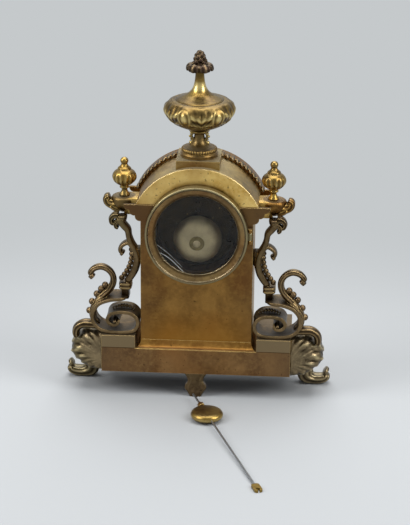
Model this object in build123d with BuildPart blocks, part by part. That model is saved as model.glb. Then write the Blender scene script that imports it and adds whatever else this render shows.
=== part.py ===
from build123d import *
import math
import os

# Cast brass mantel clock, millimetres, +Z up. The dial faces -Y and the glazed rear door faces +Y.
# The origin lies on the table, midway between the base's front and rear faces.

# Base, pedestal blocks and feet
base_half_width = 97.5
base_depth = 72.0
base_bottom = 26.0
base_height = 26.5
base_wall = 3.0
block_gap = 5.5
block_height = 14.0
rear_foot_half_width = 12.0
rear_foot_neck = 8.0
rear_foot_lobe = 11.0
rear_foot_tip = 6.0
rear_foot_thickness = 8.0
rear_foot_tongue = 16.0
foot_reach = 41.0
foot_leaf_reach = 34.0
foot_leaf_rear = 30.0
foot_leaf_depth = 52.0
foot_leaf_drop = 6.0
leg_depth = 16.0
leg_setback = 40.0
leg_thickness = 10.0
toe_radius = 5.0

# Waist, shell and panels
waist_half_width = 57.0
waist_depth = 60.0
cove_height = 8.5
cove_lip = 0.6
cove_clearance = 0.3
panel_thickness = 3.0
shell_wall = 2.5

# Arch, ears and tympanum, round the common axis of dial and door
axis_height = 178.0
arch_radius = 68.5
impost_rise = 29.4
ear_reach = 17.0
ear_drop = 17.4
ear_scallops = 3
tympanum_thickness = 1.8
archivolt_rise = 4.0
archivolt_width = 12.5
archivolt_return = 4.5

# Shoulder consoles and finials
dish_reach = 19.0
dish_radius = 13.5
dish_height = 6.0
dish_foot_radius = 8.0
corbel_drop = 11.4
corbel_depth = 22.0
console_leaf_width = 5.0
console_leaf_depth = 16.0
finial_foot_radius = 5.5
finial_stem_radius = 3.0
finial_bulb_radius = 12.2
finial_neck_radius = 3.2
finial_knob_radius = 4.0
finial_stem_height = 10.5
finial_bulb_height = 17.5
finial_neck_height = 6.0

# Scroll work beside the waist
scroll_rise = 36.0
ribbon_thickness = 4.0
ribbon_depth = 28.0
ribbon_setback = 2.0
tail_thickness = 6.0
tail_depth = 14.0
bead_radius = 3.6
bracket_thickness = 6.0
bracket_depth = 18.0
bracket_setback = 8.0
bracket_curl_thickness = 4.6
bracket_collar_height = 6.0
bracket_collar_half_width = 6.5
bracket_foot_half_width = 4.0
bracket_foot_height = 11.0
pad_height = 14.0

# Urn on its plinth
plinth_size = 44.0
plinth_rise = 5.6
urn_foot_radius = 18.5
urn_foot_height = 9.0
urn_stem_radius = 6.5
urn_stem_height = 17.0
urn_bowl_radius = 35.5
urn_bowl_height = 32.0
urn_bowl_wall = 3.0
urn_shoulder_radius = 24.5
urn_neck_height = 29.0
urn_neck_radius = 4.5
urn_leaf_radius = 13.0
urn_leaf_height = 9.0
urn_bud_radius = 7.0
urn_bud_height = 13.5
urn_rod_radius = 2.5
urn_rod_clearance = 0.1
urn_nut_radius = 6.0
urn_nut_height = 4.0

# Door, bezel, collars and hinges
glass_opening = 42.0
glass_ledge = 2.6
rear_glass_depth = 2.6
front_glass_depth = 4.9
glass_thickness = 1.8
glass_clearance = 0.15
ring_radius = 52.0
ring_bead = 3.0
ring_lip = 1.0
rear_ring_depth = 8.2
bezel_depth = 8.7
ring_gap = 0.3
collar_wall = 1.8
collar_bore = 43.2
collar_flange = 50.0
collar_flange_thickness = 1.0
collar_length = 8.0
collar_clearance = 0.3
hinge_offset = 2.0
knuckle_radius = 2.0
knuckle_height = 7.6
knuckle_gap = 0.2
hinge_lug_height = 4.0
pin_radius = 0.8
running_clearance = 0.05

# Movement plates, pillars, straps and dial
plate_radius = 41.0
plate_thickness = 2.0
plate_spacing = 26.0
front_plate_rear = -18.0
pillar_radius = 3.0
pillar_places = ((13.5, 34.0), (-13.5, 34.0), (8.0, -36.0), (-8.0, -36.0))
shelf_bore = 37.0
shelf_thickness = 2.0
dial_radius = 43.0
dial_thickness = 1.0
dial_distance = 6.0
dial_hole = 3.2
winding_hole = 3.2
dial_foot_radius = 1.2
dial_foot_circle = 31.0
strap_width = 8.0
strap_thickness = 1.5
screw_radius = 1.2
screw_head_radius = 2.6
screw_head_height = 1.6
screw_grip = 5.0
screw_clearance = 0.1
screw_spacing = 30.0

# Going train, strike train and motion work: places are measured from the dial axis
pivot_radius = 0.6
arbor_radius = 1.0
centre_arbor_radius = 1.25
winding_radius = 2.4
winding_square = 3.0
winding_reach = 4.0
barrel_place = (19.5, -11.0)
barrel_radius = 15.0
barrel_length = 14.0
third_place = (11.0, 14.0)
escape_place = (0.0, 25.0)
anchor_place = (0.0, 37.5)
second_place = (-15.0, 10.5)
pin_wheel_place = (-21.5, 21.5)
fly_place = (-31.3, 15.5)
hammer_place = (-34.5, 8.0)
minute_wheel_place = (0.0, 10.0)
barrel_teeth = 84
centre_leaves = 14
centre_teeth = 84
third_leaves = 7
third_teeth = 86
escape_leaves = 7
escape_teeth = 30
escape_radius = 9.0
escape_tooth_depth = 1.6
second_leaves = 12
second_teeth = 72
pin_leaves = 8
pin_teeth = 60
fly_leaves = 7
cannon_leaves = 14
minute_teeth = 42
minute_leaves = 10
hour_teeth = 40
wheel_thickness = 1.2
great_wheel_thickness = 1.5
pinion_length = 2.4
tooth_rise = 0.55
tooth_fall = 0.95
tooth_half_root = 0.24
tooth_half_tip = 0.09
fly_half_span = 6.0
fly_length = 7.0
fly_thickness = 0.6
anchor_thickness = 1.6
anchor_width = 2.0
crutch_drop = 19.0
crutch_thickness = 0.8
hammer_head_radius = 3.2
hammer_head_length = 8.0
hammer_arm = 21.4
hammer_swing_in = 4.0

# Hands
cannon_radius = 1.6
hour_pipe_radius = 2.4
hand_thickness = 0.6
hour_hand_length = 24.0
minute_hand_length = 36.0
hour_hand_angle = 304.5
minute_hand_angle = 54.0
hand_gap = 1.4
hand_nut_radius = 2.6
hand_nut_height = 1.4

# Bell and suspension
bell_radius = 25.0
bell_height = 13.5
bell_wall = 1.2
bell_drop = 11.2
bell_stand_off = 3.5
bell_post_radius = 2.0
bell_nut_radius = 5.0
suspension_width = 8.0
suspension_height = 5.0
suspension_drop = 11.0
suspension_strip = 0.4

# Pendulum lying on the table behind the clock
bob_radius = 16.5
bob_thickness = 11.0
bob_flat_radius = 11.5
bob_place = (-15.5, 88.0)
pendulum_heading = 111.0
pendulum_length = 165.0
pendulum_rod_radius = 1.1
thread_length = 47.0
rating_nut_radius = 3.5
rating_nut_height = 5.0
hook_length = 14.0
hook_width = 8.0
hook_thickness = 2.4

# Heights and depths that follow from the sizes above
base_top = base_bottom + base_height
block_top = base_top + block_height
base_rear = base_depth / 2
block_width = base_half_width - waist_half_width - block_gap
side_reach = base_half_width - waist_half_width
waist_bottom = base_top + cove_height
panel_rear = waist_depth / 2
shell_rear = panel_rear - panel_thickness
impost = axis_height + impost_rise
arch_top = axis_height + arch_radius
archivolt_front = base_rear - panel_rear
finial_offset = waist_half_width + dish_reach
back_plate_front = front_plate_rear + plate_spacing
back_plate_rear = back_plate_front + plate_thickness
front_plate_front = front_plate_rear - plate_thickness
dial_back = front_plate_front - dial_distance
dial_front = dial_back - dial_thickness
collar_face = panel_rear + collar_flange_thickness
ring_seat = collar_face + ring_gap
screw_x = waist_half_width - 0.5
screw_y = screw_spacing / 2
screw_places = ((screw_x, screw_y), (screw_x, -screw_y), (-screw_x, screw_y), (-screw_x, -screw_y))
sides = {"left": -1, "right": 1}

ring_plane = Plane(origin=(0, 0, axis_height), x_dir=(1, 0, 0), z_dir=(0, 0, 1))
dial_axis = Axis((0, 0, axis_height), (0, 1, 0))

os.makedirs("parts", exist_ok=True)


def upright(depth):
    """Vertical plane at that depth; an extrusion from it runs towards the front."""
    return Plane.XZ.offset(-depth)


def dial_plane(depth):
    """Vertical plane at that depth, measured from the dial axis; extrusions run towards the front."""
    return Plane(origin=(0, depth, axis_height), x_dir=(1, 0, 0), z_dir=(0, -1, 0))


def flowing_arcs(points, heading):
    """Arcs through the points, each leaving along the way the last one ended."""
    for start, end in zip(points, points[1:]):
        arc = TangentArc(start, end, tangent=heading)
        heading = arc % 1


def arch_segment(radius):
    """Piece of a disc round the dial axis that lies above the impost."""
    half_chord = math.sqrt(radius**2 - impost_rise**2)
    with BuildLine() as outline:
        Line((-half_chord, impost), (half_chord, impost))
        ThreePointArc((half_chord, impost), (0, axis_height + radius), (-half_chord, impost))
    make_face(outline.edges())


def case_outline(margin):
    """Waist and arch seen from behind, drawn in by a margin."""
    half_width = waist_half_width - margin
    shoulder = impost + margin
    radius = arch_radius - margin
    half_chord = math.sqrt(radius**2 - (shoulder - axis_height) ** 2)
    with BuildLine() as outline:
        Polyline(
            (-half_chord, shoulder), (-half_width, shoulder), (-half_width, waist_bottom),
            (half_width, waist_bottom), (half_width, shoulder), (half_chord, shoulder),
        )
        ThreePointArc((half_chord, shoulder), (0, axis_height + radius), (-half_chord, shoulder))
    make_face(outline.edges())


def waist_panel():
    """Flat panel up to the impost, with a scalloped ear at each shoulder."""
    start = Vector(waist_half_width, impost - ear_drop)
    step = Vector(ear_reach, ear_drop) / ear_scallops
    scallop = step.length * 0.62
    with BuildLine() as outline:
        Polyline((0, waist_bottom), (waist_half_width, waist_bottom), start)
        for lobe in range(ear_scallops):
            RadiusArc(start + step * lobe, start + step * (lobe + 1), -scallop)
        Polyline(start + step * ear_scallops, (0, impost), (0, waist_bottom))
    make_face(outline.edges())
    mirror(about=Plane.YZ)


def pitch_module(place, other, teeth, leaves):
    """Module that makes a wheel and a pinion meet at their two places."""
    return 2 * math.dist(place, other) / (teeth + leaves)


def bearing(place, other):
    """Direction from one place to the other, in degrees."""
    return math.degrees(math.atan2(other[1] - place[1], other[0] - place[0]))


def toothed_disc(place, teeth, module, phase):
    """Straight-sided teeth: root, flank and tip points repeated round the pitch circle."""
    pitch_radius = teeth * module / 2
    root = pitch_radius - tooth_fall * module
    tip = pitch_radius + tooth_rise * module
    points = []
    for tooth in range(teeth):
        for radius, share in (
            (root, -tooth_half_root), (tip, -tooth_half_tip), (tip, tooth_half_tip), (root, tooth_half_root),
        ):
            turn = math.radians(phase + (tooth + share) * 360 / teeth)
            points.append((radius * math.cos(turn), radius * math.sin(turn)))
    with Locations(place):
        Polygon(*points, align=None)


def space_phase(place, driver, leaves):
    """Phase that turns a pinion's tooth space towards the wheel that drives it."""
    return bearing(place, driver) + 180 / leaves


def rod(place, radius, rear, length):
    """Round rod along the depth, from its rear end towards the front."""
    with BuildSketch(dial_plane(rear)) as disc:
        with Locations(place):
            Circle(radius)
    extrude(disc.sketch, amount=length)


def train_arbor(place):
    """Arbor between the plates with a pivot at each end."""
    rod(place, arbor_radius, back_plate_front - running_clearance, plate_spacing - 2 * running_clearance)
    rod(place, pivot_radius, back_plate_rear, plate_spacing + 2 * plate_thickness)


# Base: cast box, open below, with a hollow block at each end and a well for the bob
with BuildPart() as base_box:
    block_centre = base_half_width - block_width / 2
    with BuildSketch(Plane.XY.offset(base_bottom)):
        Rectangle(2 * base_half_width, base_depth)
    extrude(amount=base_height)
    with BuildSketch(Plane.XY.offset(base_top)):
        with Locations((-block_centre, 0), (block_centre, 0)):
            Rectangle(block_width, base_depth)
    extrude(amount=block_height)
    with BuildSketch(Plane.XY.offset(base_bottom)):
        Rectangle(2 * (base_half_width - base_wall), base_depth - 2 * base_wall)
    extrude(amount=base_height - base_wall, mode=Mode.SUBTRACT)
    with BuildSketch(Plane.XY.offset(base_bottom)):
        with Locations((-block_centre, 0), (block_centre, 0)):
            Rectangle(block_width - 2 * base_wall, base_depth - 2 * base_wall)
    extrude(amount=base_height + block_height - base_wall, mode=Mode.SUBTRACT)
    with BuildSketch(Plane.XY.offset(base_top)):
        Rectangle(2 * (waist_half_width - panel_thickness), waist_depth - 2 * panel_thickness)
        with Locations(*screw_places):
            Circle(screw_radius + screw_clearance)
    extrude(amount=-base_wall, mode=Mode.SUBTRACT)
base_box.part.label = "base_box"
export_step(base_box.part, "parts/base_box.step")

# Rear foot: fretted leaf plate, flush with the base's rear face, with a tongue inside the wall
with BuildPart() as rear_foot:
    lobe_height = base_bottom * 0.4
    neck_height = base_bottom * 0.65
    with BuildSketch(upright(base_rear)):
        with BuildLine():
            Line((0, 0), (rear_foot_tip, 0))
            ThreePointArc(
                (rear_foot_tip, 0),
                (rear_foot_lobe, lobe_height),
                (rear_foot_neck, neck_height),
            )
            Polyline(
                (rear_foot_neck, neck_height), (rear_foot_half_width, base_bottom), (0, base_bottom), (0, 0)
            )
        make_face()
        mirror(about=Plane.YZ)
    extrude(amount=rear_foot_thickness)
    with BuildSketch(Plane.XY.offset(base_bottom)):
        with Locations((0, base_rear - (rear_foot_thickness + base_wall) / 2)):
            Rectangle(2 * rear_foot_neck, rear_foot_thickness - base_wall)
    extrude(amount=rear_foot_tongue)
rear_foot.part.label = "rear_foot"
export_step(rear_foot.part, "parts/rear_foot.step")

# Side feet: acanthus cap on the base's end, narrow ankle and a toe that curls up
for name, side in sides.items():
    with BuildPart() as foot:
        inner = base_half_width
        outer = inner + foot_reach
        leaf_top = block_top - foot_leaf_drop
        with BuildSketch(upright(foot_leaf_rear)):
            with BuildLine():
                Line((side * inner, base_bottom), (side * inner, leaf_top))
                ThreePointArc(
                    (side * inner, leaf_top),
                    (side * (inner + foot_leaf_reach * 0.72), leaf_top - foot_leaf_reach * 0.27),
                    (side * (inner + foot_leaf_reach), base_bottom + leg_thickness),
                )
                ThreePointArc(
                    (side * (inner + foot_leaf_reach), base_bottom + leg_thickness),
                    (side * (inner + foot_leaf_reach * 0.82), base_bottom + leg_thickness * 0.3),
                    (side * (inner + foot_leaf_reach * 0.55), base_bottom),
                )
                Line((side * (inner + foot_leaf_reach * 0.55), base_bottom), (side * inner, base_bottom))
            make_face()
        extrude(amount=foot_leaf_depth)
        with BuildSketch(upright(base_rear - leg_setback)):
            with BuildLine():
                Polyline(
                    (side * (inner + leg_thickness * 0.4), base_bottom),
                    (side * (inner + leg_thickness * 0.8), leg_thickness * 1.2),
                    (side * (inner + leg_thickness * 0.3), 0),
                    (side * (outer - toe_radius), 0),
                )
                ThreePointArc(
                    (side * (outer - toe_radius), 0),
                    (side * outer, toe_radius * 1.6),
                    (side * (outer - toe_radius), toe_radius * 3.2),
                )
                ThreePointArc(
                    (side * (outer - toe_radius), toe_radius * 3.2),
                    (side * (outer - toe_radius * 1.8), toe_radius * 2.6),
                    (side * (outer - toe_radius * 1.6), toe_radius * 1.6),
                )
                ThreePointArc(
                    (side * (outer - toe_radius * 1.6), toe_radius * 1.6),
                    (side * (inner + leg_thickness * 2.2), leg_thickness),
                    (side * (inner + foot_leaf_reach * 0.55), base_bottom),
                )
                Line(
                    (side * (inner + foot_leaf_reach * 0.55), base_bottom),
                    (side * (inner + leg_thickness * 0.4), base_bottom),
                )
            make_face()
        extrude(amount=leg_depth)
    foot.part.label = "foot_" + name
    export_step(foot.part, "parts/foot_" + name + ".step")

# Cove moulding: frame that spreads from the waist to the base
with BuildPart() as waist_moulding:
    with BuildSketch(Plane.XY.offset(base_top)):
        Rectangle(2 * (base_half_width - block_width - cove_clearance), base_depth)
        Rectangle(
            2 * (waist_half_width - panel_thickness), waist_depth - 2 * panel_thickness, mode=Mode.SUBTRACT
        )
    extrude(amount=cove_height)
    cove_length = 4 * base_half_width
    cove_depth = base_rear - panel_rear
    cove_reach = block_gap - cove_clearance
    with BuildSketch(Plane.YZ.offset(-cove_length / 2)):
        with Locations((base_rear, waist_bottom), (-base_rear, waist_bottom)):
            Ellipse(cove_depth, cove_height - cove_lip)
    extrude(amount=cove_length, mode=Mode.SUBTRACT)
    with BuildSketch(upright(cove_length / 2)):
        cove_edge = waist_half_width + cove_reach
        with Locations((cove_edge, waist_bottom), (-cove_edge, waist_bottom)):
            Ellipse(cove_reach, cove_height - cove_lip)
    extrude(amount=cove_length, mode=Mode.SUBTRACT)
    with BuildSketch(Plane.XY.offset(base_top)):
        with Locations(*screw_places):
            Circle(screw_radius + screw_clearance)
    extrude(amount=screw_grip + screw_clearance, mode=Mode.SUBTRACT)
waist_moulding.part.label = "waist_moulding"
export_step(waist_moulding.part, "parts/waist_moulding.step")

# Case shell: one band wrapped round waist and arch, open in front, behind and below
with BuildPart() as case_shell:
    with BuildSketch(upright(shell_rear)):
        case_outline(0)
    extrude(amount=2 * shell_rear)
    with BuildSketch(upright(shell_rear)):
        case_outline(shell_wall)
    extrude(amount=2 * shell_rear, mode=Mode.SUBTRACT)
    with BuildSketch(Plane.XY.offset(arch_top - 2 * shell_wall)):
        Circle(urn_rod_radius + urn_rod_clearance)
    extrude(amount=3 * shell_wall, mode=Mode.SUBTRACT)
case_shell.part.label = "case_shell"
export_step(case_shell.part, "parts/case_shell.step")

# Rear panel with the door's round opening
collar_hole = collar_bore + collar_wall + collar_clearance
with BuildPart() as rear_panel:
    with BuildSketch(upright(panel_rear)):
        waist_panel()
        with Locations((0, axis_height)):
            Circle(collar_hole, mode=Mode.SUBTRACT)
    extrude(amount=panel_thickness)
rear_panel.part.label = "rear_panel"
export_step(rear_panel.part, "parts/rear_panel.step")

# Tympanum: thinner bright crescent above the impost, set back from the panel's face
with BuildPart() as rear_tympanum:
    with BuildSketch(upright(shell_rear + tympanum_thickness)):
        arch_segment(arch_radius)
        with Locations((0, axis_height)):
            Circle(collar_hole, mode=Mode.SUBTRACT)
    extrude(amount=tympanum_thickness)
rear_tympanum.part.label = "rear_tympanum"
export_step(rear_tympanum.part, "parts/rear_tympanum.step")

# Front panel with ears, dial opening and the archivolt that frames the arch
with BuildPart() as front_panel:
    with BuildSketch(upright(-shell_rear)):
        waist_panel()
        arch_segment(arch_radius)
        with Locations((0, axis_height)):
            Circle(collar_hole, mode=Mode.SUBTRACT)
    extrude(amount=panel_thickness)
    with BuildSketch(upright(-panel_rear)):
        arch_segment(arch_radius + archivolt_rise)
        with Locations((0, axis_height)):
            Circle(arch_radius + archivolt_rise - archivolt_width, mode=Mode.SUBTRACT)
    extrude(amount=archivolt_front)
    with BuildSketch(upright(archivolt_return - shell_rear)):
        arch_segment(arch_radius + archivolt_rise)
        with Locations((0, axis_height)):
            Circle(arch_radius, mode=Mode.SUBTRACT)
    extrude(amount=archivolt_return + panel_thickness)
front_panel.part.label = "front_panel"
export_step(front_panel.part, "parts/front_panel.step")

# Shoulder consoles: round dish on a corbel, with a leaf that turns up at its outer end
for name, side in sides.items():
    with BuildPart() as console:
        dish_bottom = impost - dish_height
        corbel_bottom = dish_bottom - corbel_drop
        with BuildSketch(Plane(origin=(side * finial_offset, 0, 0), x_dir=(1, 0, 0), z_dir=(0, -1, 0))):
            with BuildLine():
                Polyline((0, corbel_bottom), (dish_foot_radius, corbel_bottom))
                ThreePointArc(
                    (dish_foot_radius, corbel_bottom),
                    (dish_radius * 0.68, dish_bottom - corbel_drop * 0.45),
                    (dish_radius * 0.9, dish_bottom),
                )
                ThreePointArc(
                    (dish_radius * 0.9, dish_bottom),
                    (dish_radius, dish_bottom + dish_height * 0.5),
                    (dish_radius * 0.96, impost),
                )
                Polyline((dish_radius * 0.96, impost), (0, impost), (0, corbel_bottom))
            make_face()
        revolve(axis=Axis((side * finial_offset, 0, 0), (0, 0, 1)))
        with BuildSketch(Plane.XY.offset(corbel_bottom)):
            with Locations((side * (waist_half_width + dish_reach / 2), 0)):
                Rectangle(dish_reach, corbel_depth)
        extrude(amount=corbel_drop + dish_height)
        leaf_root = finial_offset + dish_radius * 0.5
        leaf_tip = finial_offset + dish_radius + console_leaf_width
        leaf_base = dish_bottom - console_leaf_width
        with BuildSketch(upright(console_leaf_depth / 2)):
            with BuildLine():
                flowing_arcs(
                    (
                        (side * leaf_root, leaf_base + 0.4 * console_leaf_width),
                        (side * (leaf_tip - 0.9 * console_leaf_width), leaf_base - 0.1 * console_leaf_width),
                        (side * leaf_tip, leaf_base + 0.9 * console_leaf_width),
                        (side * (leaf_tip - 0.2 * console_leaf_width), impost - 0.2 * console_leaf_width),
                    ),
                    (side, -0.3),
                )
            trace(line_width=console_leaf_width)
        extrude(amount=console_leaf_depth)
    console.part.label = "console_" + name
    export_step(console.part, "parts/console_" + name + ".step")

# Finials: turned stem, swelling bulb, cone neck and ball
for name, side in sides.items():
    with BuildPart() as finial:
        bulb_bottom = impost + finial_stem_height
        bulb_top = bulb_bottom + finial_bulb_height
        knob_base = bulb_top + finial_neck_height
        knob_centre = knob_base + math.sqrt(finial_knob_radius**2 - finial_neck_radius**2)
        with BuildSketch(Plane(origin=(side * finial_offset, 0, 0), x_dir=(1, 0, 0), z_dir=(0, -1, 0))):
            with BuildLine():
                Polyline((0, impost), (finial_foot_radius, impost), (finial_foot_radius, impost + 1.5))
                ThreePointArc(
                    (finial_foot_radius, impost + 1.5),
                    (finial_stem_radius, impost + finial_stem_height * 0.55),
                    (finial_stem_radius + 1.2, bulb_bottom),
                )
                ThreePointArc(
                    (finial_stem_radius + 1.2, bulb_bottom),
                    (finial_bulb_radius, bulb_bottom + finial_bulb_height * 0.52),
                    (finial_neck_radius * 2, bulb_top),
                )
                Line((finial_neck_radius * 2, bulb_top), (finial_neck_radius, knob_base))
                ThreePointArc(
                    (finial_neck_radius, knob_base),
                    (finial_knob_radius, knob_centre),
                    (0, knob_centre + finial_knob_radius),
                )
                Line((0, knob_centre + finial_knob_radius), (0, impost))
            make_face()
        revolve(axis=Axis((side * finial_offset, 0, 0), (0, 0, 1)))
    finial.part.label = "finial_" + name
    export_step(finial.part, "parts/finial_" + name + ".step")

# Upper brackets: beaded S scroll from the console down to a collared foot
bracket_rear = panel_rear - bracket_setback
bracket_top = impost - dish_height - corbel_drop
bracket_foot_x = waist_half_width + side_reach * 0.42
bracket_foot_bottom = block_top + scroll_rise - ribbon_thickness / 4
bracket_collar_bottom = bracket_foot_bottom + bracket_foot_height
bracket_collar_top = bracket_collar_bottom + bracket_collar_height
bracket_drop = bracket_top - bracket_collar_top


def bracket_point(side, across, down):
    """Point of the bracket: shares of the side's reach from the waist and of the drop from the console."""
    return side * (waist_half_width + side_reach * across), bracket_top - bracket_drop * down


for name, side in sides.items():
    with BuildPart() as bracket:
        with BuildSketch(upright(bracket_rear)):
            with BuildLine():
                flowing_arcs(
                    (
                        bracket_point(side, 0.56, 0.03),
                        bracket_point(side, 0.447, 0.136),
                        bracket_point(side, 0.262, 0.226),
                        bracket_point(side, 0.25, 0.319),
                        bracket_point(side, 0.2, 0.478),
                        bracket_point(side, 0.19, 0.638),
                        bracket_point(side, 0.23, 0.797),
                        bracket_point(side, 0.305, 0.913),
                        (side * bracket_foot_x, bracket_collar_top),
                    ),
                    (-side * 0.5, -1),
                )
            trace(line_width=bracket_thickness)
            with BuildLine():
                flowing_arcs(
                    (
                        bracket_point(side, 0.43, 0.575),
                        bracket_point(side, 0.48, 0.5),
                        bracket_point(side, 0.39, 0.437),
                        bracket_point(side, 0.25, 0.41),
                        bracket_point(side, 0.16, 0.478),
                    ),
                    (side, 0.5),
                )
            trace(line_width=bracket_curl_thickness)
            with Locations(bracket_point(side, 0.42, 0.575)):
                Circle(bracket_curl_thickness * 0.75)
            top_pad_x = waist_half_width + side_reach * 0.5
            with Locations((side * top_pad_x, bracket_top - bracket_thickness / 2)):
                Rectangle(2 * bracket_thickness, bracket_thickness)
            pad_width = bracket_thickness
            with Locations((side * (waist_half_width + pad_width / 2), bracket_top - bracket_drop * 0.594)):
                Rectangle(pad_width, pad_height)
            with Locations((side * bracket_foot_x, (bracket_collar_bottom + bracket_collar_top) / 2)):
                Rectangle(2 * bracket_collar_half_width, bracket_collar_height)
            with Locations((side * bracket_foot_x, (bracket_foot_bottom + bracket_collar_bottom) / 2)):
                Rectangle(2 * bracket_foot_half_width, bracket_foot_height)
        extrude(amount=bracket_depth)
    bracket.part.label = "upper_scroll_" + name
    export_step(bracket.part, "parts/upper_scroll_" + name + ".step")

# Lower scrolls: broad ribbon on the block, with a beaded leafy tail and a hook at its heel
ribbon_rear = base_rear - ribbon_setback
tail_rear = ribbon_rear - (ribbon_depth - tail_depth) / 2
ribbon_low = block_top + ribbon_thickness / 2
arm_start = bracket_foot_x + bracket_foot_half_width


def scroll_point(side, across, up):
    """Point of the scroll: shares of the side's reach from the bracket's foot and of the scroll's rise."""
    return side * (arm_start + side_reach * across), ribbon_low + scroll_rise * up


for name, side in sides.items():
    with BuildPart() as scroll:
        with BuildSketch(upright(ribbon_rear)):
            with BuildLine():
                flowing_arcs(
                    (
                        scroll_point(side, 0.247, 0),
                        scroll_point(side, 0.53, 0.083),
                        scroll_point(side, 0.691, 0.306),
                        scroll_point(side, 0.699, 0.583),
                        scroll_point(side, 0.543, 0.847),
                        scroll_point(side, 0.259, 0.986),
                        scroll_point(side, -0.025, 1),
                    ),
                    (side, 0),
                )
            trace(line_width=ribbon_thickness)
            with BuildLine():
                Line(scroll_point(side, 0.247, 0), scroll_point(side, -0.123, 0))
                flowing_arcs(
                    (
                        scroll_point(side, -0.123, 0),
                        scroll_point(side, -0.35, 0.125),
                        scroll_point(side, -0.432, 0.394),
                        scroll_point(side, -0.375, 0.639),
                        scroll_point(side, -0.143, 0.772),
                        scroll_point(side, 0.185, 0.708),
                        scroll_point(side, 0.321, 0.506),
                        scroll_point(side, 0.272, 0.33),
                        scroll_point(side, 0.12, 0.306),
                    ),
                    (-side, 0),
                )
            trace(line_width=ribbon_thickness)
            with Locations((side * (arm_start - ribbon_thickness), ribbon_low + scroll_rise)):
                Rectangle(2 * ribbon_thickness, 3 * ribbon_thickness, mode=Mode.SUBTRACT)
        extrude(amount=ribbon_depth)
        with BuildSketch(upright(tail_rear)):
            with BuildLine():
                flowing_arcs(
                    (
                        scroll_point(side, 0.58, 0.806),
                        scroll_point(side, 0.457, 1.014),
                        scroll_point(side, 0.309, 1.181),
                        scroll_point(side, 0.21, 1.375),
                        scroll_point(side, 0.205, 1.583),
                        scroll_point(side, 0.296, 1.764),
                        scroll_point(side, 0.469, 1.869),
                        scroll_point(side, 0.654, 1.833),
                        scroll_point(side, 0.778, 1.694),
                        scroll_point(side, 0.785, 1.597),
                    ),
                    (-side * 0.5, 1),
                )
            trace(line_width=tail_thickness)
            with Locations(scroll_point(side, 0.74, 1.56)):
                Circle(tail_thickness * 0.62)
            with BuildLine():
                flowing_arcs(
                    (
                        scroll_point(side, 0.568, 0.111),
                        scroll_point(side, 0.79, 0.1),
                        scroll_point(side, 0.975, 0.097),
                        scroll_point(side, 1.131, -0.014),
                        scroll_point(side, 1.168, -0.208),
                        scroll_point(side, 1.123, -0.319),
                    ),
                    (side, 0.3),
                )
            trace(line_width=tail_thickness)
        extrude(amount=tail_depth)
        bead_depth = ribbon_rear - ribbon_depth / 2
        with Locations(
            (side * (arm_start + side_reach * 0.489), bead_depth, ribbon_low + scroll_rise * 1.211),
            (side * (arm_start + side_reach * 0.617), bead_depth, ribbon_low + scroll_rise * 1.044),
            (side * (arm_start + side_reach * 0.751), bead_depth, ribbon_low + scroll_rise * 0.794),
            (side * (arm_start + side_reach * 0.825), bead_depth, ribbon_low + scroll_rise * 0.556),
            (side * (arm_start + side_reach * 0.805), bead_depth, ribbon_low + scroll_rise * 0.292),
        ):
            Sphere(bead_radius, rotation=(0, 0, 90 - 90 * side))
    scroll.part.label = "lower_scroll_" + name
    export_step(scroll.part, "parts/lower_scroll_" + name + ".step")

# Urn plinth: square block with a saddle that sits on the arch
plinth_top = arch_top + plinth_rise
rod_bore = urn_rod_radius + urn_rod_clearance
plinth_bottom = axis_height + math.sqrt(arch_radius**2 - (plinth_size / 2) ** 2)
with BuildPart() as urn_plinth:
    with BuildSketch(Plane.XY.offset(plinth_bottom)):
        Rectangle(plinth_size, plinth_size)
    extrude(amount=plinth_top - plinth_bottom)
    with BuildSketch(upright(plinth_size)):
        with Locations((0, axis_height)):
            Circle(arch_radius)
    extrude(amount=2 * plinth_size, mode=Mode.SUBTRACT)
    with BuildSketch(Plane.XY.offset(arch_top - shell_wall)):
        Circle(rod_bore)
    extrude(amount=plinth_size, mode=Mode.SUBTRACT)
urn_plinth.part.label = "urn_plinth"
export_step(urn_plinth.part, "parts/urn_plinth.step")

# Urn foot: round moulded foot that draws in to the stem
bowl_bottom = plinth_top + urn_foot_height + urn_stem_height
with BuildPart() as urn_foot:
    with BuildSketch(Plane.XZ):
        with BuildLine():
            Polyline((rod_bore, plinth_top), (urn_foot_radius, plinth_top))
            ThreePointArc(
                (urn_foot_radius, plinth_top),
                (urn_foot_radius * 1.02, plinth_top + urn_foot_height * 0.3),
                (urn_foot_radius * 0.9, plinth_top + urn_foot_height * 0.55),
            )
            Line(
                (urn_foot_radius * 0.9, plinth_top + urn_foot_height * 0.55),
                (urn_foot_radius * 0.62, plinth_top + urn_foot_height),
            )
            ThreePointArc(
                (urn_foot_radius * 0.62, plinth_top + urn_foot_height),
                (urn_stem_radius, plinth_top + urn_foot_height + urn_stem_height * 0.55),
                (urn_stem_radius * 1.7, bowl_bottom),
            )
            Polyline((urn_stem_radius * 1.7, bowl_bottom), (rod_bore, bowl_bottom), (rod_bore, plinth_top))
        make_face()
    revolve(axis=Axis.Z)
urn_foot.part.label = "urn_foot"
export_step(urn_foot.part, "parts/urn_foot.step")

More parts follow.
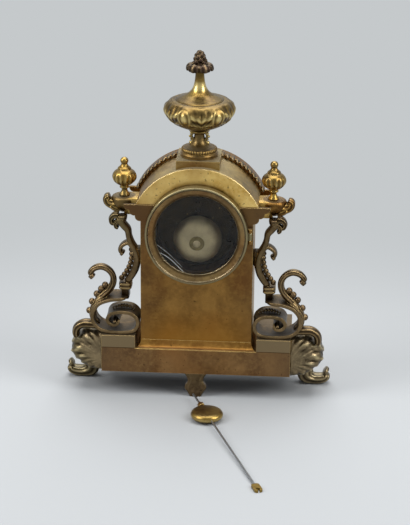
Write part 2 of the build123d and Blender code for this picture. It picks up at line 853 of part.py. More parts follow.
# Urn bowl: squashed hollow bowl, widest at two thirds of its height
bowl_top = bowl_bottom + urn_bowl_height
bowl_widest = bowl_bottom + urn_bowl_height * 0.62
with BuildPart() as urn_bowl:
    with BuildSketch(Plane.XZ):
        with BuildLine():
            Line((rod_bore, bowl_bottom), (urn_stem_radius * 1.9, bowl_bottom))
            ThreePointArc(
                (urn_stem_radius * 1.9, bowl_bottom),
                (urn_bowl_radius * 0.83, bowl_bottom + urn_bowl_height * 0.27),
                (urn_bowl_radius, bowl_widest),
            )
            ThreePointArc(
                (urn_bowl_radius, bowl_widest),
                (urn_bowl_radius * 0.9, bowl_widest + urn_bowl_height * 0.24),
                (urn_shoulder_radius, bowl_top),
            )
            inside = urn_shoulder_radius - urn_bowl_wall
            floor = bowl_bottom + urn_bowl_wall
            Line((urn_shoulder_radius, bowl_top), (inside, bowl_top))
            ThreePointArc(
                (inside, bowl_top),
                (urn_bowl_radius - urn_bowl_wall * 1.5, bowl_widest),
                (urn_stem_radius * 1.9, floor + urn_bowl_wall),
            )
            Polyline(
                (urn_stem_radius * 1.9, floor + urn_bowl_wall), (rod_bore, floor), (rod_bore, bowl_bottom)
            )
        make_face()
    revolve(axis=Axis.Z)
urn_bowl.part.label = "urn_bowl"
export_step(urn_bowl.part, "parts/urn_bowl.step")

# Urn neck: trumpet cover that closes the bowl
neck_top = bowl_top + urn_neck_height
with BuildPart() as urn_neck:
    with BuildSketch(Plane.XZ):
        with BuildLine():
            Line((rod_bore, bowl_top), (urn_shoulder_radius, bowl_top))
            ThreePointArc(
                (urn_shoulder_radius, bowl_top),
                (urn_neck_radius * 1.75, bowl_top + urn_neck_height * 0.4),
                (urn_neck_radius, neck_top),
            )
            Polyline((urn_neck_radius, neck_top), (rod_bore, neck_top), (rod_bore, bowl_top))
        make_face()
    revolve(axis=Axis.Z)
urn_neck.part.label = "urn_neck"
export_step(urn_neck.part, "parts/urn_neck.step")

# Urn bud: ring of leaves curling out below a closed bud
leaf_top = neck_top + urn_leaf_height
bud_top = leaf_top + urn_bud_height
with BuildPart() as urn_bud:
    with BuildSketch(Plane.XZ):
        with BuildLine():
            Line((0, neck_top), (urn_neck_radius, neck_top))
            ThreePointArc(
                (urn_neck_radius, neck_top),
                (urn_leaf_radius * 0.8, neck_top + urn_leaf_height * 0.45),
                (urn_leaf_radius, neck_top + urn_leaf_height * 0.8),
            )
            Polyline(
                (urn_leaf_radius, neck_top + urn_leaf_height * 0.8),
                (urn_leaf_radius * 0.85, leaf_top),
                (urn_bud_radius * 0.7, leaf_top),
            )
            ThreePointArc(
                (urn_bud_radius * 0.7, leaf_top),
                (urn_bud_radius, leaf_top + urn_bud_height * 0.4),
                (urn_bud_radius * 0.2, bud_top),
            )
            Polyline((urn_bud_radius * 0.2, bud_top), (0, bud_top), (0, neck_top))
        make_face()
    revolve(axis=Axis.Z)
    with BuildSketch(Plane.XY.offset(neck_top)):
        Circle(rod_bore)
    extrude(amount=urn_leaf_height / 2, mode=Mode.SUBTRACT)
urn_bud.part.label = "urn_bud"
export_step(urn_bud.part, "parts/urn_bud.step")

# Urn rod: tie rod that draws the urn down on the arch, with a nut inside the case
with BuildPart() as urn_rod:
    nut_top = axis_height + math.sqrt((arch_radius - shell_wall) ** 2 - urn_nut_radius**2)
    with BuildSketch(Plane.XY.offset(nut_top)):
        Circle(urn_rod_radius)
    extrude(amount=neck_top + urn_leaf_height / 2 - nut_top)
    with BuildSketch(Plane.XY.offset(nut_top)):
        RegularPolygon(urn_nut_radius, 6)
    extrude(amount=-urn_nut_height)
urn_rod.part.label = "urn_rod"
export_step(urn_rod.part, "parts/urn_rod.step")


# Collars fixed in the case: tube, flange and a pair of hinge lugs
hinge_x = ring_radius + hinge_offset
hinge_y = ring_seat + knuckle_radius
lug_low = knuckle_height / 2 + knuckle_gap
collar_outer = collar_bore + collar_wall


def collar_ring(facing):
    """Tube and flange of a collar, facing rear (+1) or front (-1)."""
    with BuildSketch(ring_plane) as profile:
        with BuildLine():
            Polyline(
                (collar_bore, facing * collar_face),
                (collar_flange, facing * collar_face),
                (collar_flange, facing * panel_rear),
                (collar_outer, facing * panel_rear),
                (collar_outer, facing * (panel_rear - collar_length)),
                (collar_bore, facing * (panel_rear - collar_length)),
                close=True,
            )
        make_face()
    revolve(profile.sketch, axis=dial_axis)


def hinge_lugs(side, facing):
    """Leaf on the flange that carries the two fixed knuckles."""
    leaf_inner = collar_flange - 1
    leaf_outer = hinge_x + knuckle_radius
    lug_inner = ring_radius + ring_gap
    for low in (lug_low, -lug_low - hinge_lug_height):
        with BuildSketch(Plane.XY.offset(axis_height + low)) as lug:
            with Locations((side * (leaf_inner + leaf_outer) / 2, facing * (panel_rear + collar_face) / 2)):
                Rectangle(leaf_outer - leaf_inner, collar_flange_thickness)
            with Locations((side * (lug_inner + leaf_outer) / 2, facing * (panel_rear + hinge_y) / 2)):
                Rectangle(leaf_outer - lug_inner, hinge_y - panel_rear)
            with Locations((side * hinge_x, facing * hinge_y)):
                Circle(knuckle_radius)
                Circle(pin_radius, mode=Mode.SUBTRACT)
        extrude(lug.sketch, amount=hinge_lug_height)


with BuildPart() as rear_collar:
    collar_ring(1)
    hinge_lugs(-1, 1)
rear_collar.part.label = "rear_collar"
export_step(rear_collar.part, "parts/rear_collar.step")

# Front collar: the same ring with a shelf that carries the movement's front plate
with BuildPart() as front_collar:
    collar_ring(-1)
    hinge_lugs(1, -1)
    with BuildSketch(dial_plane(front_plate_front)):
        Circle(collar_outer)
        Circle(shelf_bore, mode=Mode.SUBTRACT)
    extrude(amount=shelf_thickness)
front_collar.part.label = "front_collar"
export_step(front_collar.part, "parts/front_collar.step")

# Hinge pins, one behind and one in front
with BuildPart() as hinge_pins:
    pin_half = lug_low + hinge_lug_height
    with BuildSketch(Plane.XY.offset(axis_height - pin_half)):
        with Locations((-hinge_x, hinge_y), (hinge_x, -hinge_y)):
            Circle(pin_radius)
    extrude(amount=2 * pin_half)
hinge_pins.part.label = "hinge_pins"
export_step(hinge_pins.part, "parts/hinge_pins.step")


def glazed_ring(side, facing, depth, rebate_depth):
    """Ring whose face slopes from a beaded rim in to the glass, with a rebate behind and one knuckle."""
    face = ring_seat + depth
    rebate = glass_opening + glass_ledge
    lip = ring_seat + rebate_depth
    with BuildSketch(ring_plane) as profile:
        with BuildLine():
            Polyline(
                (glass_opening, facing * lip),
                (glass_opening, facing * (lip + ring_lip)),
                (ring_radius - ring_bead, facing * (face - ring_bead / 2)),
            )
            ThreePointArc(
                (ring_radius - ring_bead, facing * (face - ring_bead / 2)),
                (ring_radius - ring_bead / 2, facing * face),
                (ring_radius, facing * (face - ring_bead / 2)),
            )
            Polyline(
                (ring_radius, facing * (face - ring_bead / 2)),
                (ring_radius, facing * ring_seat),
                (rebate, facing * ring_seat),
                (rebate, facing * lip),
                (glass_opening, facing * lip),
            )
        make_face()
    revolve(profile.sketch, axis=dial_axis)
    with BuildSketch(Plane.XY.offset(axis_height - knuckle_height / 2)) as knuckle:
        tab_inner = ring_radius - 1
        with Locations((side * (tab_inner + hinge_x) / 2, facing * hinge_y)):
            Rectangle(hinge_x - tab_inner, knuckle_radius)
        with Locations((side * hinge_x, facing * hinge_y)):
            Circle(knuckle_radius)
            Circle(pin_radius + running_clearance, mode=Mode.SUBTRACT)
    extrude(knuckle.sketch, amount=knuckle_height)


with BuildPart() as rear_door_ring:
    glazed_ring(-1, 1, rear_ring_depth, rear_glass_depth)
rear_door_ring.part.label = "rear_door_ring"
export_step(rear_door_ring.part, "parts/rear_door_ring.step")

with BuildPart() as front_bezel:
    glazed_ring(1, -1, bezel_depth, front_glass_depth)
front_bezel.part.label = "front_bezel"
export_step(front_bezel.part, "parts/front_bezel.step")

# Glass discs in their rebates
with BuildPart() as rear_glass:
    with BuildSketch(dial_plane(ring_seat + rear_glass_depth)):
        Circle(glass_opening + glass_ledge - glass_clearance)
    extrude(amount=glass_thickness)
rear_glass.part.label = "rear_glass"
export_step(rear_glass.part, "parts/rear_glass.step")

with BuildPart() as front_glass:
    with BuildSketch(dial_plane(glass_thickness - ring_seat - front_glass_depth)):
        Circle(glass_opening + glass_ledge - glass_clearance)
    extrude(amount=glass_thickness)
front_glass.part.label = "front_glass"
export_step(front_glass.part, "parts/front_glass.step")

# Movement plates with their pivot holes
pivot_hole = pivot_radius + running_clearance
pivot_places = (third_place, escape_place, second_place, pin_wheel_place, fly_place)
strike_barrel_place = (-barrel_place[0], barrel_place[1])
with BuildPart() as front_plate:
    with BuildSketch(dial_plane(front_plate_rear)):
        Circle(plate_radius)
        with Locations(*pivot_places, anchor_place, hammer_place):
            Circle(pivot_hole, mode=Mode.SUBTRACT)
        with Locations(barrel_place, strike_barrel_place):
            Circle(winding_radius + running_clearance, mode=Mode.SUBTRACT)
        Circle(centre_arbor_radius + running_clearance, mode=Mode.SUBTRACT)
    extrude(amount=plate_thickness)
    rod(minute_wheel_place, arbor_radius, front_plate_front, dial_distance - 0.5)
front_plate.part.label = "front_plate"
export_step(front_plate.part, "parts/front_plate.step")

with BuildPart() as back_plate:
    with BuildSketch(dial_plane(back_plate_rear)):
        Circle(plate_radius)
        with Locations(*pivot_places, (0, 0)):
            Circle(pivot_hole, mode=Mode.SUBTRACT)
        with Locations(barrel_place, strike_barrel_place):
            Circle(winding_radius + running_clearance, mode=Mode.SUBTRACT)
        with Locations(anchor_place, hammer_place):
            Circle(arbor_radius + running_clearance, mode=Mode.SUBTRACT)
        with Locations((0, -bell_drop)):
            Circle(bell_post_radius, mode=Mode.SUBTRACT)
    extrude(amount=plate_thickness)
back_plate.part.label = "back_plate"
export_step(back_plate.part, "parts/back_plate.step")

# Pillars that hold the plates apart
with BuildPart() as plate_pillars:
    with BuildSketch(dial_plane(back_plate_front)):
        with Locations(*pillar_places):
            Circle(pillar_radius)
    extrude(amount=plate_spacing)
plate_pillars.part.label = "plate_pillars"
export_step(plate_pillars.part, "parts/plate_pillars.step")

# Straps from the front collar's shelf to the rear collar, and the screws that draw them tight
strap_x = math.sqrt(collar_bore**2 - (strap_width / 2) ** 2) - strap_thickness / 2
with BuildPart() as movement_straps:
    with BuildSketch(dial_plane(panel_rear)):
        with Locations((-strap_x, 0), (strap_x, 0)):
            Rectangle(strap_thickness, strap_width)
    extrude(amount=panel_rear - front_plate_front)
movement_straps.part.label = "movement_straps"
export_step(movement_straps.part, "parts/movement_straps.step")

with BuildPart() as case_screws:
    with BuildSketch(Plane.XY.offset(base_top - base_wall)):
        with Locations(*screw_places):
            Circle(screw_head_radius)
    extrude(amount=-screw_head_height)
    with BuildSketch(Plane.XY.offset(base_top - base_wall)):
        with Locations(*screw_places):
            Circle(screw_radius)
    extrude(amount=base_wall + screw_grip)
case_screws.part.label = "case_screws"
export_step(case_screws.part, "parts/case_screws.step")

# Dial on three feet, with holes for the hands and the winding squares
with BuildPart() as dial:
    with BuildSketch(dial_plane(dial_back)):
        Circle(dial_radius)
        Circle(dial_hole, mode=Mode.SUBTRACT)
        with Locations(barrel_place, strike_barrel_place):
            Circle(winding_hole, mode=Mode.SUBTRACT)
    extrude(amount=dial_thickness)
    with BuildSketch(dial_plane(front_plate_front)):
        with PolarLocations(dial_foot_circle, 3, start_angle=90):
            Circle(dial_foot_radius)
    extrude(amount=dial_distance)
dial.part.label = "dial"
export_step(dial.part, "parts/dial.step")

# Depths of the wheels, measured back from the front plate
centre_wheel_rear = front_plate_rear + 3.2
great_wheel_rear = front_plate_rear + 6.0
drum_rear = great_wheel_rear + barrel_length
strike_great_rear = drum_rear + great_wheel_thickness
second_wheel_rear = strike_great_rear + 2.0
third_wheel_rear = back_plate_front - 0.9
escape_wheel_rear = front_plate_rear + 17.0
pin_wheel_rear = front_plate_rear + 15.0
going_module = pitch_module(barrel_place, (0, 0), barrel_teeth, centre_leaves)
centre_module = pitch_module((0, 0), third_place, centre_teeth, third_leaves)
third_module = pitch_module(third_place, escape_place, third_teeth, escape_leaves)
strike_module = pitch_module(strike_barrel_place, second_place, barrel_teeth, second_leaves)
second_module = pitch_module(second_place, pin_wheel_place, second_teeth, pin_leaves)
pin_module = pitch_module(pin_wheel_place, fly_place, pin_teeth, fly_leaves)


def wheel(place, teeth, module, phase, rear, thickness):
    """Toothed wheel or pinion whose rear face is at the given depth."""
    with BuildSketch(dial_plane(rear)) as face:
        toothed_disc(place, teeth, module, phase)
    extrude(face.sketch, amount=thickness)


def winding_bore(place):
    """Running bore through a barrel for its winding arbor."""
    with BuildSketch(dial_plane(back_plate_front)) as bore:
        with Locations(place):
            Circle(winding_radius + running_clearance)
    extrude(bore.sketch, amount=plate_spacing, mode=Mode.SUBTRACT)


# Going barrel: drum with its great wheel in front
with BuildPart() as going_barrel:
    rod(barrel_place, barrel_radius, drum_rear, barrel_length)
    wheel(
        barrel_place, barrel_teeth, going_module, bearing(barrel_place, (0, 0)),
        great_wheel_rear, great_wheel_thickness,
    )
    winding_bore(barrel_place)
going_barrel.part.label = "going_barrel"
export_step(going_barrel.part, "parts/going_barrel.step")

# Strike barrel: drum with its great wheel behind
with BuildPart() as strike_barrel:
    rod(strike_barrel_place, barrel_radius, drum_rear, barrel_length)
    wheel(
        strike_barrel_place, barrel_teeth, strike_module, bearing(strike_barrel_place, second_place),
        strike_great_rear, great_wheel_thickness,
    )
    winding_bore(strike_barrel_place)
strike_barrel.part.label = "strike_barrel"
export_step(strike_barrel.part, "parts/strike_barrel.step")

# Winding arbors with a square that stands in the dial's winding hole
for name, place in (("going", barrel_place), ("strike", strike_barrel_place)):
    with BuildPart() as winding_arbor:
        rod(place, winding_radius, back_plate_rear, back_plate_rear - dial_back)
        with BuildSketch(dial_plane(dial_back)):
            with Locations(place):
                Rectangle(winding_square, winding_square)
        extrude(amount=winding_reach)
    winding_arbor.part.label = name + "_winding_arbor"
    export_step(winding_arbor.part, "parts/" + name + "_winding_arbor.step")

# Centre wheel: runs once an hour and reaches forward through the cannon pinion
minute_hand_rear = dial_front - hand_gap - hand_thickness - hand_gap
arbor_tip = minute_hand_rear - hand_thickness - hand_nut_height - 0.6
with BuildPart() as centre_wheel:
    rod((0, 0), centre_arbor_radius, back_plate_front - running_clearance, plate_spacing + plate_thickness)
    rod((0, 0), pivot_radius, back_plate_rear, back_plate_rear - arbor_tip)
    wheel((0, 0), centre_leaves, going_module, space_phase((0, 0), barrel_place, centre_leaves),
          great_wheel_rear + 0.45, pinion_length)
    wheel((0, 0), centre_teeth, centre_module, bearing((0, 0), third_place),
          centre_wheel_rear, wheel_thickness)
centre_wheel.part.label = "centre_wheel"
export_step(centre_wheel.part, "parts/centre_wheel.step")

# Third wheel
with BuildPart() as third_wheel:
    train_arbor(third_place)
    wheel(third_place, third_leaves, centre_module, space_phase(third_place, (0, 0), third_leaves),
          centre_wheel_rear + 0.6, pinion_length)
    wheel(third_place, third_teeth, third_module, bearing(third_place, escape_place),
          third_wheel_rear, wheel_thickness)
third_wheel.part.label = "third_wheel"
export_step(third_wheel.part, "parts/third_wheel.step")

# Escape wheel with pointed teeth
with BuildPart() as escape_wheel:
    train_arbor(escape_place)
    wheel(escape_place, escape_leaves, third_module, space_phase(escape_place, third_place, escape_leaves),
          third_wheel_rear + 0.4, pinion_length)
    tooth_points = []
    for tooth in range(escape_teeth):
        for radius, share in ((escape_radius - escape_tooth_depth, 0), (escape_radius, 0.75)):
            turn = math.radians((tooth + share) * 360 / escape_teeth)
            tooth_points.append((radius * math.cos(turn), radius * math.sin(turn)))
    with BuildSketch(dial_plane(escape_wheel_rear)):
        with Locations(escape_place):
            Polygon(*tooth_points, align=None)
    extrude(amount=wheel_thickness)
escape_wheel.part.label = "escape_wheel"
export_step(escape_wheel.part, "parts/escape_wheel.step")

# Anchor over the escape wheel, with its crutch behind the back plate
crutch_rear = back_plate_rear + 0.4 + crutch_thickness
with BuildPart() as anchor:
    anchor_x, anchor_z = anchor_place
    train_arbor(anchor_place)
    rod(anchor_place, arbor_radius, crutch_rear, crutch_rear - back_plate_front + 1)
    pallet_x = anchor_x + escape_radius * 0.82
    pallet_z = escape_place[1] + escape_radius * 0.845
    elbow_x = anchor_x + escape_radius * 0.6
    elbow_z = anchor_z - anchor_width * 0.6
    with BuildSketch(dial_plane(escape_wheel_rear + 0.2)):
        with BuildLine():
            Polyline(
                (-pallet_x, pallet_z), (-elbow_x, elbow_z), (anchor_x, anchor_z),
                (elbow_x, elbow_z), (pallet_x, pallet_z),
            )
        trace(line_width=anchor_thickness)
        with Locations(anchor_place):
            Circle(anchor_width)
    extrude(amount=anchor_width)
    crutch_end = anchor_z - crutch_drop
    with BuildSketch(dial_plane(crutch_rear)):
        with Locations((anchor_x, (anchor_z + crutch_end) / 2)):
            Rectangle(anchor_width, crutch_drop)
        with Locations((anchor_x, crutch_end)):
            Rectangle(3 * anchor_width, anchor_width)
        with Locations(anchor_place):
            Circle(anchor_width)
    extrude(amount=crutch_thickness)
    with BuildSketch(dial_plane(crutch_rear + 4)):
        with Locations((anchor_x - anchor_width, crutch_end), (anchor_x + anchor_width, crutch_end)):
            Circle(anchor_thickness / 2)
    extrude(amount=4)
anchor.part.label = "anchor"
export_step(anchor.part, "parts/anchor.step")

# Strike train: second wheel, pin wheel and fly
with BuildPart() as strike_second_wheel:
    train_arbor(second_place)
    wheel(second_place, second_leaves, strike_module,
          space_phase(second_place, strike_barrel_place, second_leaves),
          strike_great_rear + 0.45, pinion_length)
    wheel(second_place, second_teeth, second_module, bearing(second_place, pin_wheel_place),
          second_wheel_rear, wheel_thickness)
strike_second_wheel.part.label = "strike_second_wheel"
export_step(strike_second_wheel.part, "parts/strike_second_wheel.step")

with BuildPart() as pin_wheel:
    train_arbor(pin_wheel_place)
    wheel(pin_wheel_place, pin_leaves, second_module, space_phase(pin_wheel_place, second_place, pin_leaves),
          second_wheel_rear + 0.6, pinion_length)
    wheel(pin_wheel_place, pin_teeth, pin_module, bearing(pin_wheel_place, fly_place),
          pin_wheel_rear, wheel_thickness)
    with BuildSketch(dial_plane(pin_wheel_rear + 1.6)):
        with Locations(pin_wheel_place):
            with PolarLocations(pin_teeth * pin_module / 2 - 2, 8):
                Circle(pivot_radius)
    extrude(amount=1.6)
pin_wheel.part.label = "pin_wheel"
export_step(pin_wheel.part, "parts/pin_wheel.step")

with BuildPart() as fly:
    train_arbor(fly_place)
    wheel(fly_place, fly_leaves, pin_module, space_phase(fly_place, pin_wheel_place, fly_leaves),
          pin_wheel_rear + 0.6, pinion_length)
    with BuildSketch(dial_plane(front_plate_rear + 4 + fly_length)):
        with Locations(fly_place):
            Rectangle(2 * fly_half_span, fly_thickness)
    extrude(amount=fly_length)
fly.part.label = "fly"
export_step(fly.part, "parts/fly.step")

# Hammer: arbor, arm behind the back plate and a head beside the bell's rim
hammer_arm_rear = back_plate_rear + bell_stand_off + 2.4
with BuildPart() as hammer:
    hammer_x, hammer_z = hammer_place
    train_arbor(hammer_place)
    rod(hammer_place, arbor_radius, hammer_arm_rear, hammer_arm_rear - back_plate_front + 1)
    head_x = hammer_x + hammer_swing_in
    head_z = hammer_z - math.sqrt(hammer_arm**2 - hammer_swing_in**2)
    with BuildSketch(dial_plane(hammer_arm_rear)):
        with BuildLine():
            Line(hammer_place, (head_x, head_z))
        trace(line_width=anchor_thickness)
        with Locations(hammer_place):
            Circle(anchor_width)
        with Locations((head_x, head_z)):
            Rectangle(hammer_head_length / 2, 2 * hammer_head_radius)
    extrude(amount=anchor_thickness)
    with BuildSketch(dial_plane(hammer_arm_rear + hammer_head_radius)):
        with Locations((head_x - hammer_head_length / 4, head_z)):
            Rectangle(hammer_head_length / 2, hammer_head_radius)
    extrude(amount=hammer_head_radius)
hammer.part.label = "hammer"
export_step(hammer.part, "parts/hammer.step")

# Motion work: cannon pinion with the minute hand, minute wheel, hour wheel with the hour hand
cannon_module = pitch_module((0, 0), minute_wheel_place, cannon_leaves, minute_teeth)
hour_module = pitch_module((0, 0), minute_wheel_place, hour_teeth, minute_leaves)
hour_hand_rear = dial_front - hand_gap
motion_gap = 0.6
minute_rear = front_plate_front - motion_gap
hour_rear = minute_rear - wheel_thickness - 2 * motion_gap
cannon_bore = pivot_radius + running_clearance
with BuildPart() as cannon_pinion:
    rod((0, 0), cannon_radius, minute_rear, minute_rear - minute_hand_rear)
    wheel((0, 0), cannon_leaves, cannon_module, bearing((0, 0), minute_wheel_place), minute_rear,
          wheel_thickness)
    with BuildSketch(dial_plane(minute_rear)):
        Circle(cannon_bore)
    extrude(amount=minute_rear - minute_hand_rear, mode=Mode.SUBTRACT)
cannon_pinion.part.label = "cannon_pinion"
export_step(cannon_pinion.part, "parts/cannon_pinion.step")

with BuildPart() as minute_wheel:
    wheel(minute_wheel_place, minute_teeth, cannon_module,
          space_phase(minute_wheel_place, (0, 0), minute_teeth), minute_rear, wheel_thickness)
    wheel(minute_wheel_place, minute_leaves, hour_module, bearing(minute_wheel_place, (0, 0)),
          minute_rear - wheel_thickness, pinion_length)
    with BuildSketch(dial_plane(minute_rear)):
        with Locations(minute_wheel_place):
            Circle(arbor_radius + running_clearance)
    extrude(amount=dial_distance, mode=Mode.SUBTRACT)
minute_wheel.part.label = "minute_wheel"
export_step(minute_wheel.part, "parts/minute_wheel.step")

with BuildPart() as hour_wheel:
    rod((0, 0), hour_pipe_radius, hour_rear, hour_rear - hour_hand_rear)
    wheel((0, 0), hour_teeth, hour_module, space_phase((0, 0), minute_wheel_place, hour_teeth), hour_rear,
          wheel_thickness)
    with BuildSketch(dial_plane(hour_rear)):
        Circle(cannon_radius + running_clearance)
    extrude(amount=hour_rear - hour_hand_rear, mode=Mode.SUBTRACT)
hour_wheel.part.label = "hour_wheel"
export_step(hour_wheel.part, "parts/hour_wheel.step")


def hand(length, angle, boss, bore, rear):
    """Tapered hand with a round boss and a disc near its tip; the angle runs clockwise from twelve."""
    turn = math.radians(90 - angle)
    along = Vector(math.cos(turn), math.sin(turn))
    across = Vector(-along.Y, along.X)
    with BuildSketch(dial_plane(rear)) as face:
        with BuildLine():
            Polyline(
                across * boss * 0.45, along * length * 0.72 + across * 0.6, along * length,
                along * length * 0.72 - across * 0.6, across * boss * -0.45, close=True,
            )
        make_face()
        Circle(boss)
        with Locations(along * length * 0.72):
            Circle(boss * 0.7)
        Circle(bore, mode=Mode.SUBTRACT)
    extrude(face.sketch, amount=hand_thickness)


with BuildPart() as hour_hand:
    hand(hour_hand_length, hour_hand_angle, hour_pipe_radius + 1.2, cannon_radius + running_clearance,
         hour_hand_rear)
hour_hand.part.label = "hour_hand"
export_step(hour_hand.part, "parts/hour_hand.step")

with BuildPart() as minute_hand:
    hand(minute_hand_length, minute_hand_angle, hand_nut_radius, cannon_bore, minute_hand_rear)
minute_hand.part.label = "minute_hand"
export_step(minute_hand.part, "parts/minute_hand.step")

# Nut that holds the minute hand on the cannon pinion
with BuildPart() as hand_nut:
    with BuildSketch(dial_plane(minute_hand_rear - hand_thickness)):
        RegularPolygon(hand_nut_radius * 0.75, 6)
        Circle(cannon_bore, mode=Mode.SUBTRACT)
    extrude(amount=hand_nut_height)
hand_nut.part.label = "hand_nut"
export_step(hand_nut.part, "parts/hand_nut.step")

# Bell on its post, with the domed nut in its centre
bell_rim = back_plate_rear + bell_stand_off
bell_crown = bell_rim + bell_height
bell_axis = Axis((0, 0, axis_height - bell_drop), (0, 1, 0))
bell_plane = Plane(origin=(0, 0, axis_height - bell_drop), x_dir=(1, 0, 0), z_dir=(0, 0, 1))
with BuildPart() as bell:
    crown_radius = bell_radius * 0.45
    with BuildSketch(bell_plane):
        with BuildLine():
            Polyline((bell_post_radius, bell_crown), (crown_radius, bell_crown))
            ThreePointArc(
                (crown_radius, bell_crown),
                (bell_radius * 0.86, bell_rim + bell_height * 0.6),
                (bell_radius, bell_rim),
            )
            Line((bell_radius, bell_rim), (bell_radius - bell_wall, bell_rim))
            ThreePointArc(
                (bell_radius - bell_wall, bell_rim),
                (bell_radius * 0.86 - bell_wall, bell_rim + bell_height * 0.6 - bell_wall / 2),
                (crown_radius - bell_wall / 2, bell_crown - bell_wall),
            )
            Polyline(
                (crown_radius - bell_wall / 2, bell_crown - bell_wall),
                (bell_post_radius, bell_crown - bell_wall),
                (bell_post_radius, bell_crown),
            )
        make_face()
    revolve(axis=bell_axis)
bell.part.label = "bell"
export_step(bell.part, "parts/bell.step")

with BuildPart() as bell_stand:
    nut_height = bell_nut_radius * 0.6
    nut_ball = (bell_nut_radius**2 + nut_height**2) / (2 * nut_height)
    nut_turn = math.asin(bell_nut_radius / nut_ball) / 2
    nut_mid = nut_height - nut_ball * (1 - math.cos(nut_turn))
    rod((0, -bell_drop), bell_post_radius, bell_crown, bell_crown - back_plate_front)
    rod((0, -bell_drop), 2 * bell_post_radius, bell_crown - bell_wall, bell_wall)
    with BuildSketch(bell_plane):
        with BuildLine():
            Line((0, bell_crown), (bell_nut_radius, bell_crown))
            ThreePointArc(
                (bell_nut_radius, bell_crown),
                (nut_ball * math.sin(nut_turn), bell_crown + nut_mid),
                (0, bell_crown + nut_height),
            )
            Line((0, bell_crown + nut_height), (0, bell_crown))
        make_face()
    revolve(axis=bell_axis)
bell_stand.part.label = "bell_stand"
export_step(bell_stand.part, "parts/bell_stand.step")

# Suspension: block on the back plate, spring strip and lower chops
with BuildPart() as suspension:
    chop_depth = 3.0
    chop_rear = crutch_rear + 0.8 + chop_depth
    block_low = anchor_place[1] + arbor_radius + 1
    strip_low = block_low - suspension_drop
    with BuildSketch(dial_plane(chop_rear)):
        with Locations((0, block_low + suspension_height / 2)):
            Rectangle(suspension_width, suspension_height)
    extrude(amount=chop_rear - back_plate_rear)
    with BuildSketch(dial_plane(chop_rear)):
        with Locations((0, (block_low + strip_low) / 2)):
            Rectangle(suspension_strip, suspension_drop)
        with Locations((0, strip_low - suspension_height / 2)):
            Rectangle(suspension_width * 0.6, suspension_height)
    extrude(amount=chop_depth)
suspension.part.label = "suspension"
export_step(suspension.part, "parts/suspension.step")

# Pendulum: lens bob, steel rod with a hook, and a rating nut on the thread
hook_drop = bob_thickness / 2 - hook_thickness / 2
pendulum_tilt = math.degrees(math.asin(hook_drop / pendulum_length))
pendulum_run = Vector(1, 0, 0).rotate(Axis.Y, pendulum_tilt).rotate(Axis.Z, pendulum_heading)
pendulum_side = Vector(0, 1, 0).rotate(Axis.Z, pendulum_heading)
bob_centre = Vector(*bob_place, bob_thickness / 2)
pendulum_up = pendulum_run.cross(pendulum_side)
bob_bore = pendulum_rod_radius + running_clearance


def rod_plane(distance):
    """Plane square to the pendulum rod, at a distance from the bob's centre towards the hook."""
    return Plane(origin=bob_centre + pendulum_run * distance, x_dir=pendulum_side, z_dir=pendulum_run)


with BuildPart() as pendulum_bob:
    lens_radius = (bob_radius**2 + (bob_thickness / 2) ** 2) / bob_thickness
    flat_height = math.sqrt(lens_radius**2 - bob_flat_radius**2) - (lens_radius - bob_thickness / 2)
    with BuildSketch(Plane(origin=bob_centre, x_dir=pendulum_run, z_dir=pendulum_side)):
        with BuildLine():
            Line((0, -bob_thickness / 2), (0, flat_height))
            Line((0, flat_height), (bob_flat_radius, flat_height))
            lens_centre = bob_thickness / 2 - lens_radius
            rim_turn = math.asin((bob_flat_radius + bob_radius) / 2 / lens_radius)
            ThreePointArc(
                (bob_flat_radius, flat_height),
                (lens_radius * math.sin(rim_turn), lens_centre + lens_radius * math.cos(rim_turn)),
                (bob_radius, 0),
            )
            low_turn = math.asin(bob_radius / 2 / lens_radius)
            ThreePointArc(
                (bob_radius, 0),
                (lens_radius * math.sin(low_turn), -lens_centre - lens_radius * math.cos(low_turn)),
                (0, -bob_thickness / 2),
            )
        make_face()
    revolve(axis=Axis(bob_centre, pendulum_up))
    with BuildSketch(rod_plane(-bob_radius - 1)):
        Circle(bob_bore)
    extrude(amount=2 * bob_radius + 2, mode=Mode.SUBTRACT)
pendulum_bob.part.label = "pendulum_bob"
export_step(pendulum_bob.part, "parts/pendulum_bob.step")

with BuildPart() as pendulum_rod:
    with BuildSketch(rod_plane(-thread_length)):
        Circle(pendulum_rod_radius)
    extrude(amount=thread_length + pendulum_length - hook_length * 0.6)
    hook_middle = bob_centre + pendulum_run * (pendulum_length - hook_length / 2)
    with BuildSketch(Plane(origin=hook_middle, x_dir=pendulum_run, z_dir=pendulum_up)):
        RectangleRounded(hook_length, hook_width, hook_width * 0.3)
        with Locations((hook_length * 0.26, 0)):
            Circle(hook_width * 0.22, mode=Mode.SUBTRACT)
        with Locations((hook_length * 0.42, 0)):
            Rectangle(hook_length * 0.3, hook_width * 0.2, mode=Mode.SUBTRACT)
    extrude(amount=hook_thickness / 2, both=True)
pendulum_rod.part.label = "pendulum_rod"
export_step(pendulum_rod.part, "parts/pendulum_rod.step")

with BuildPart() as rating_nut:
    with BuildSketch(rod_plane(-bob_radius - rating_nut_height - ring_gap)):
        Circle(rating_nut_radius)
        Circle(bob_bore, mode=Mode.SUBTRACT)
    extrude(amount=rating_nut_height)
rating_nut.part.label = "rating_nut"
export_step(rating_nut.part, "parts/rating_nut.step")
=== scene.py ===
from math import radians

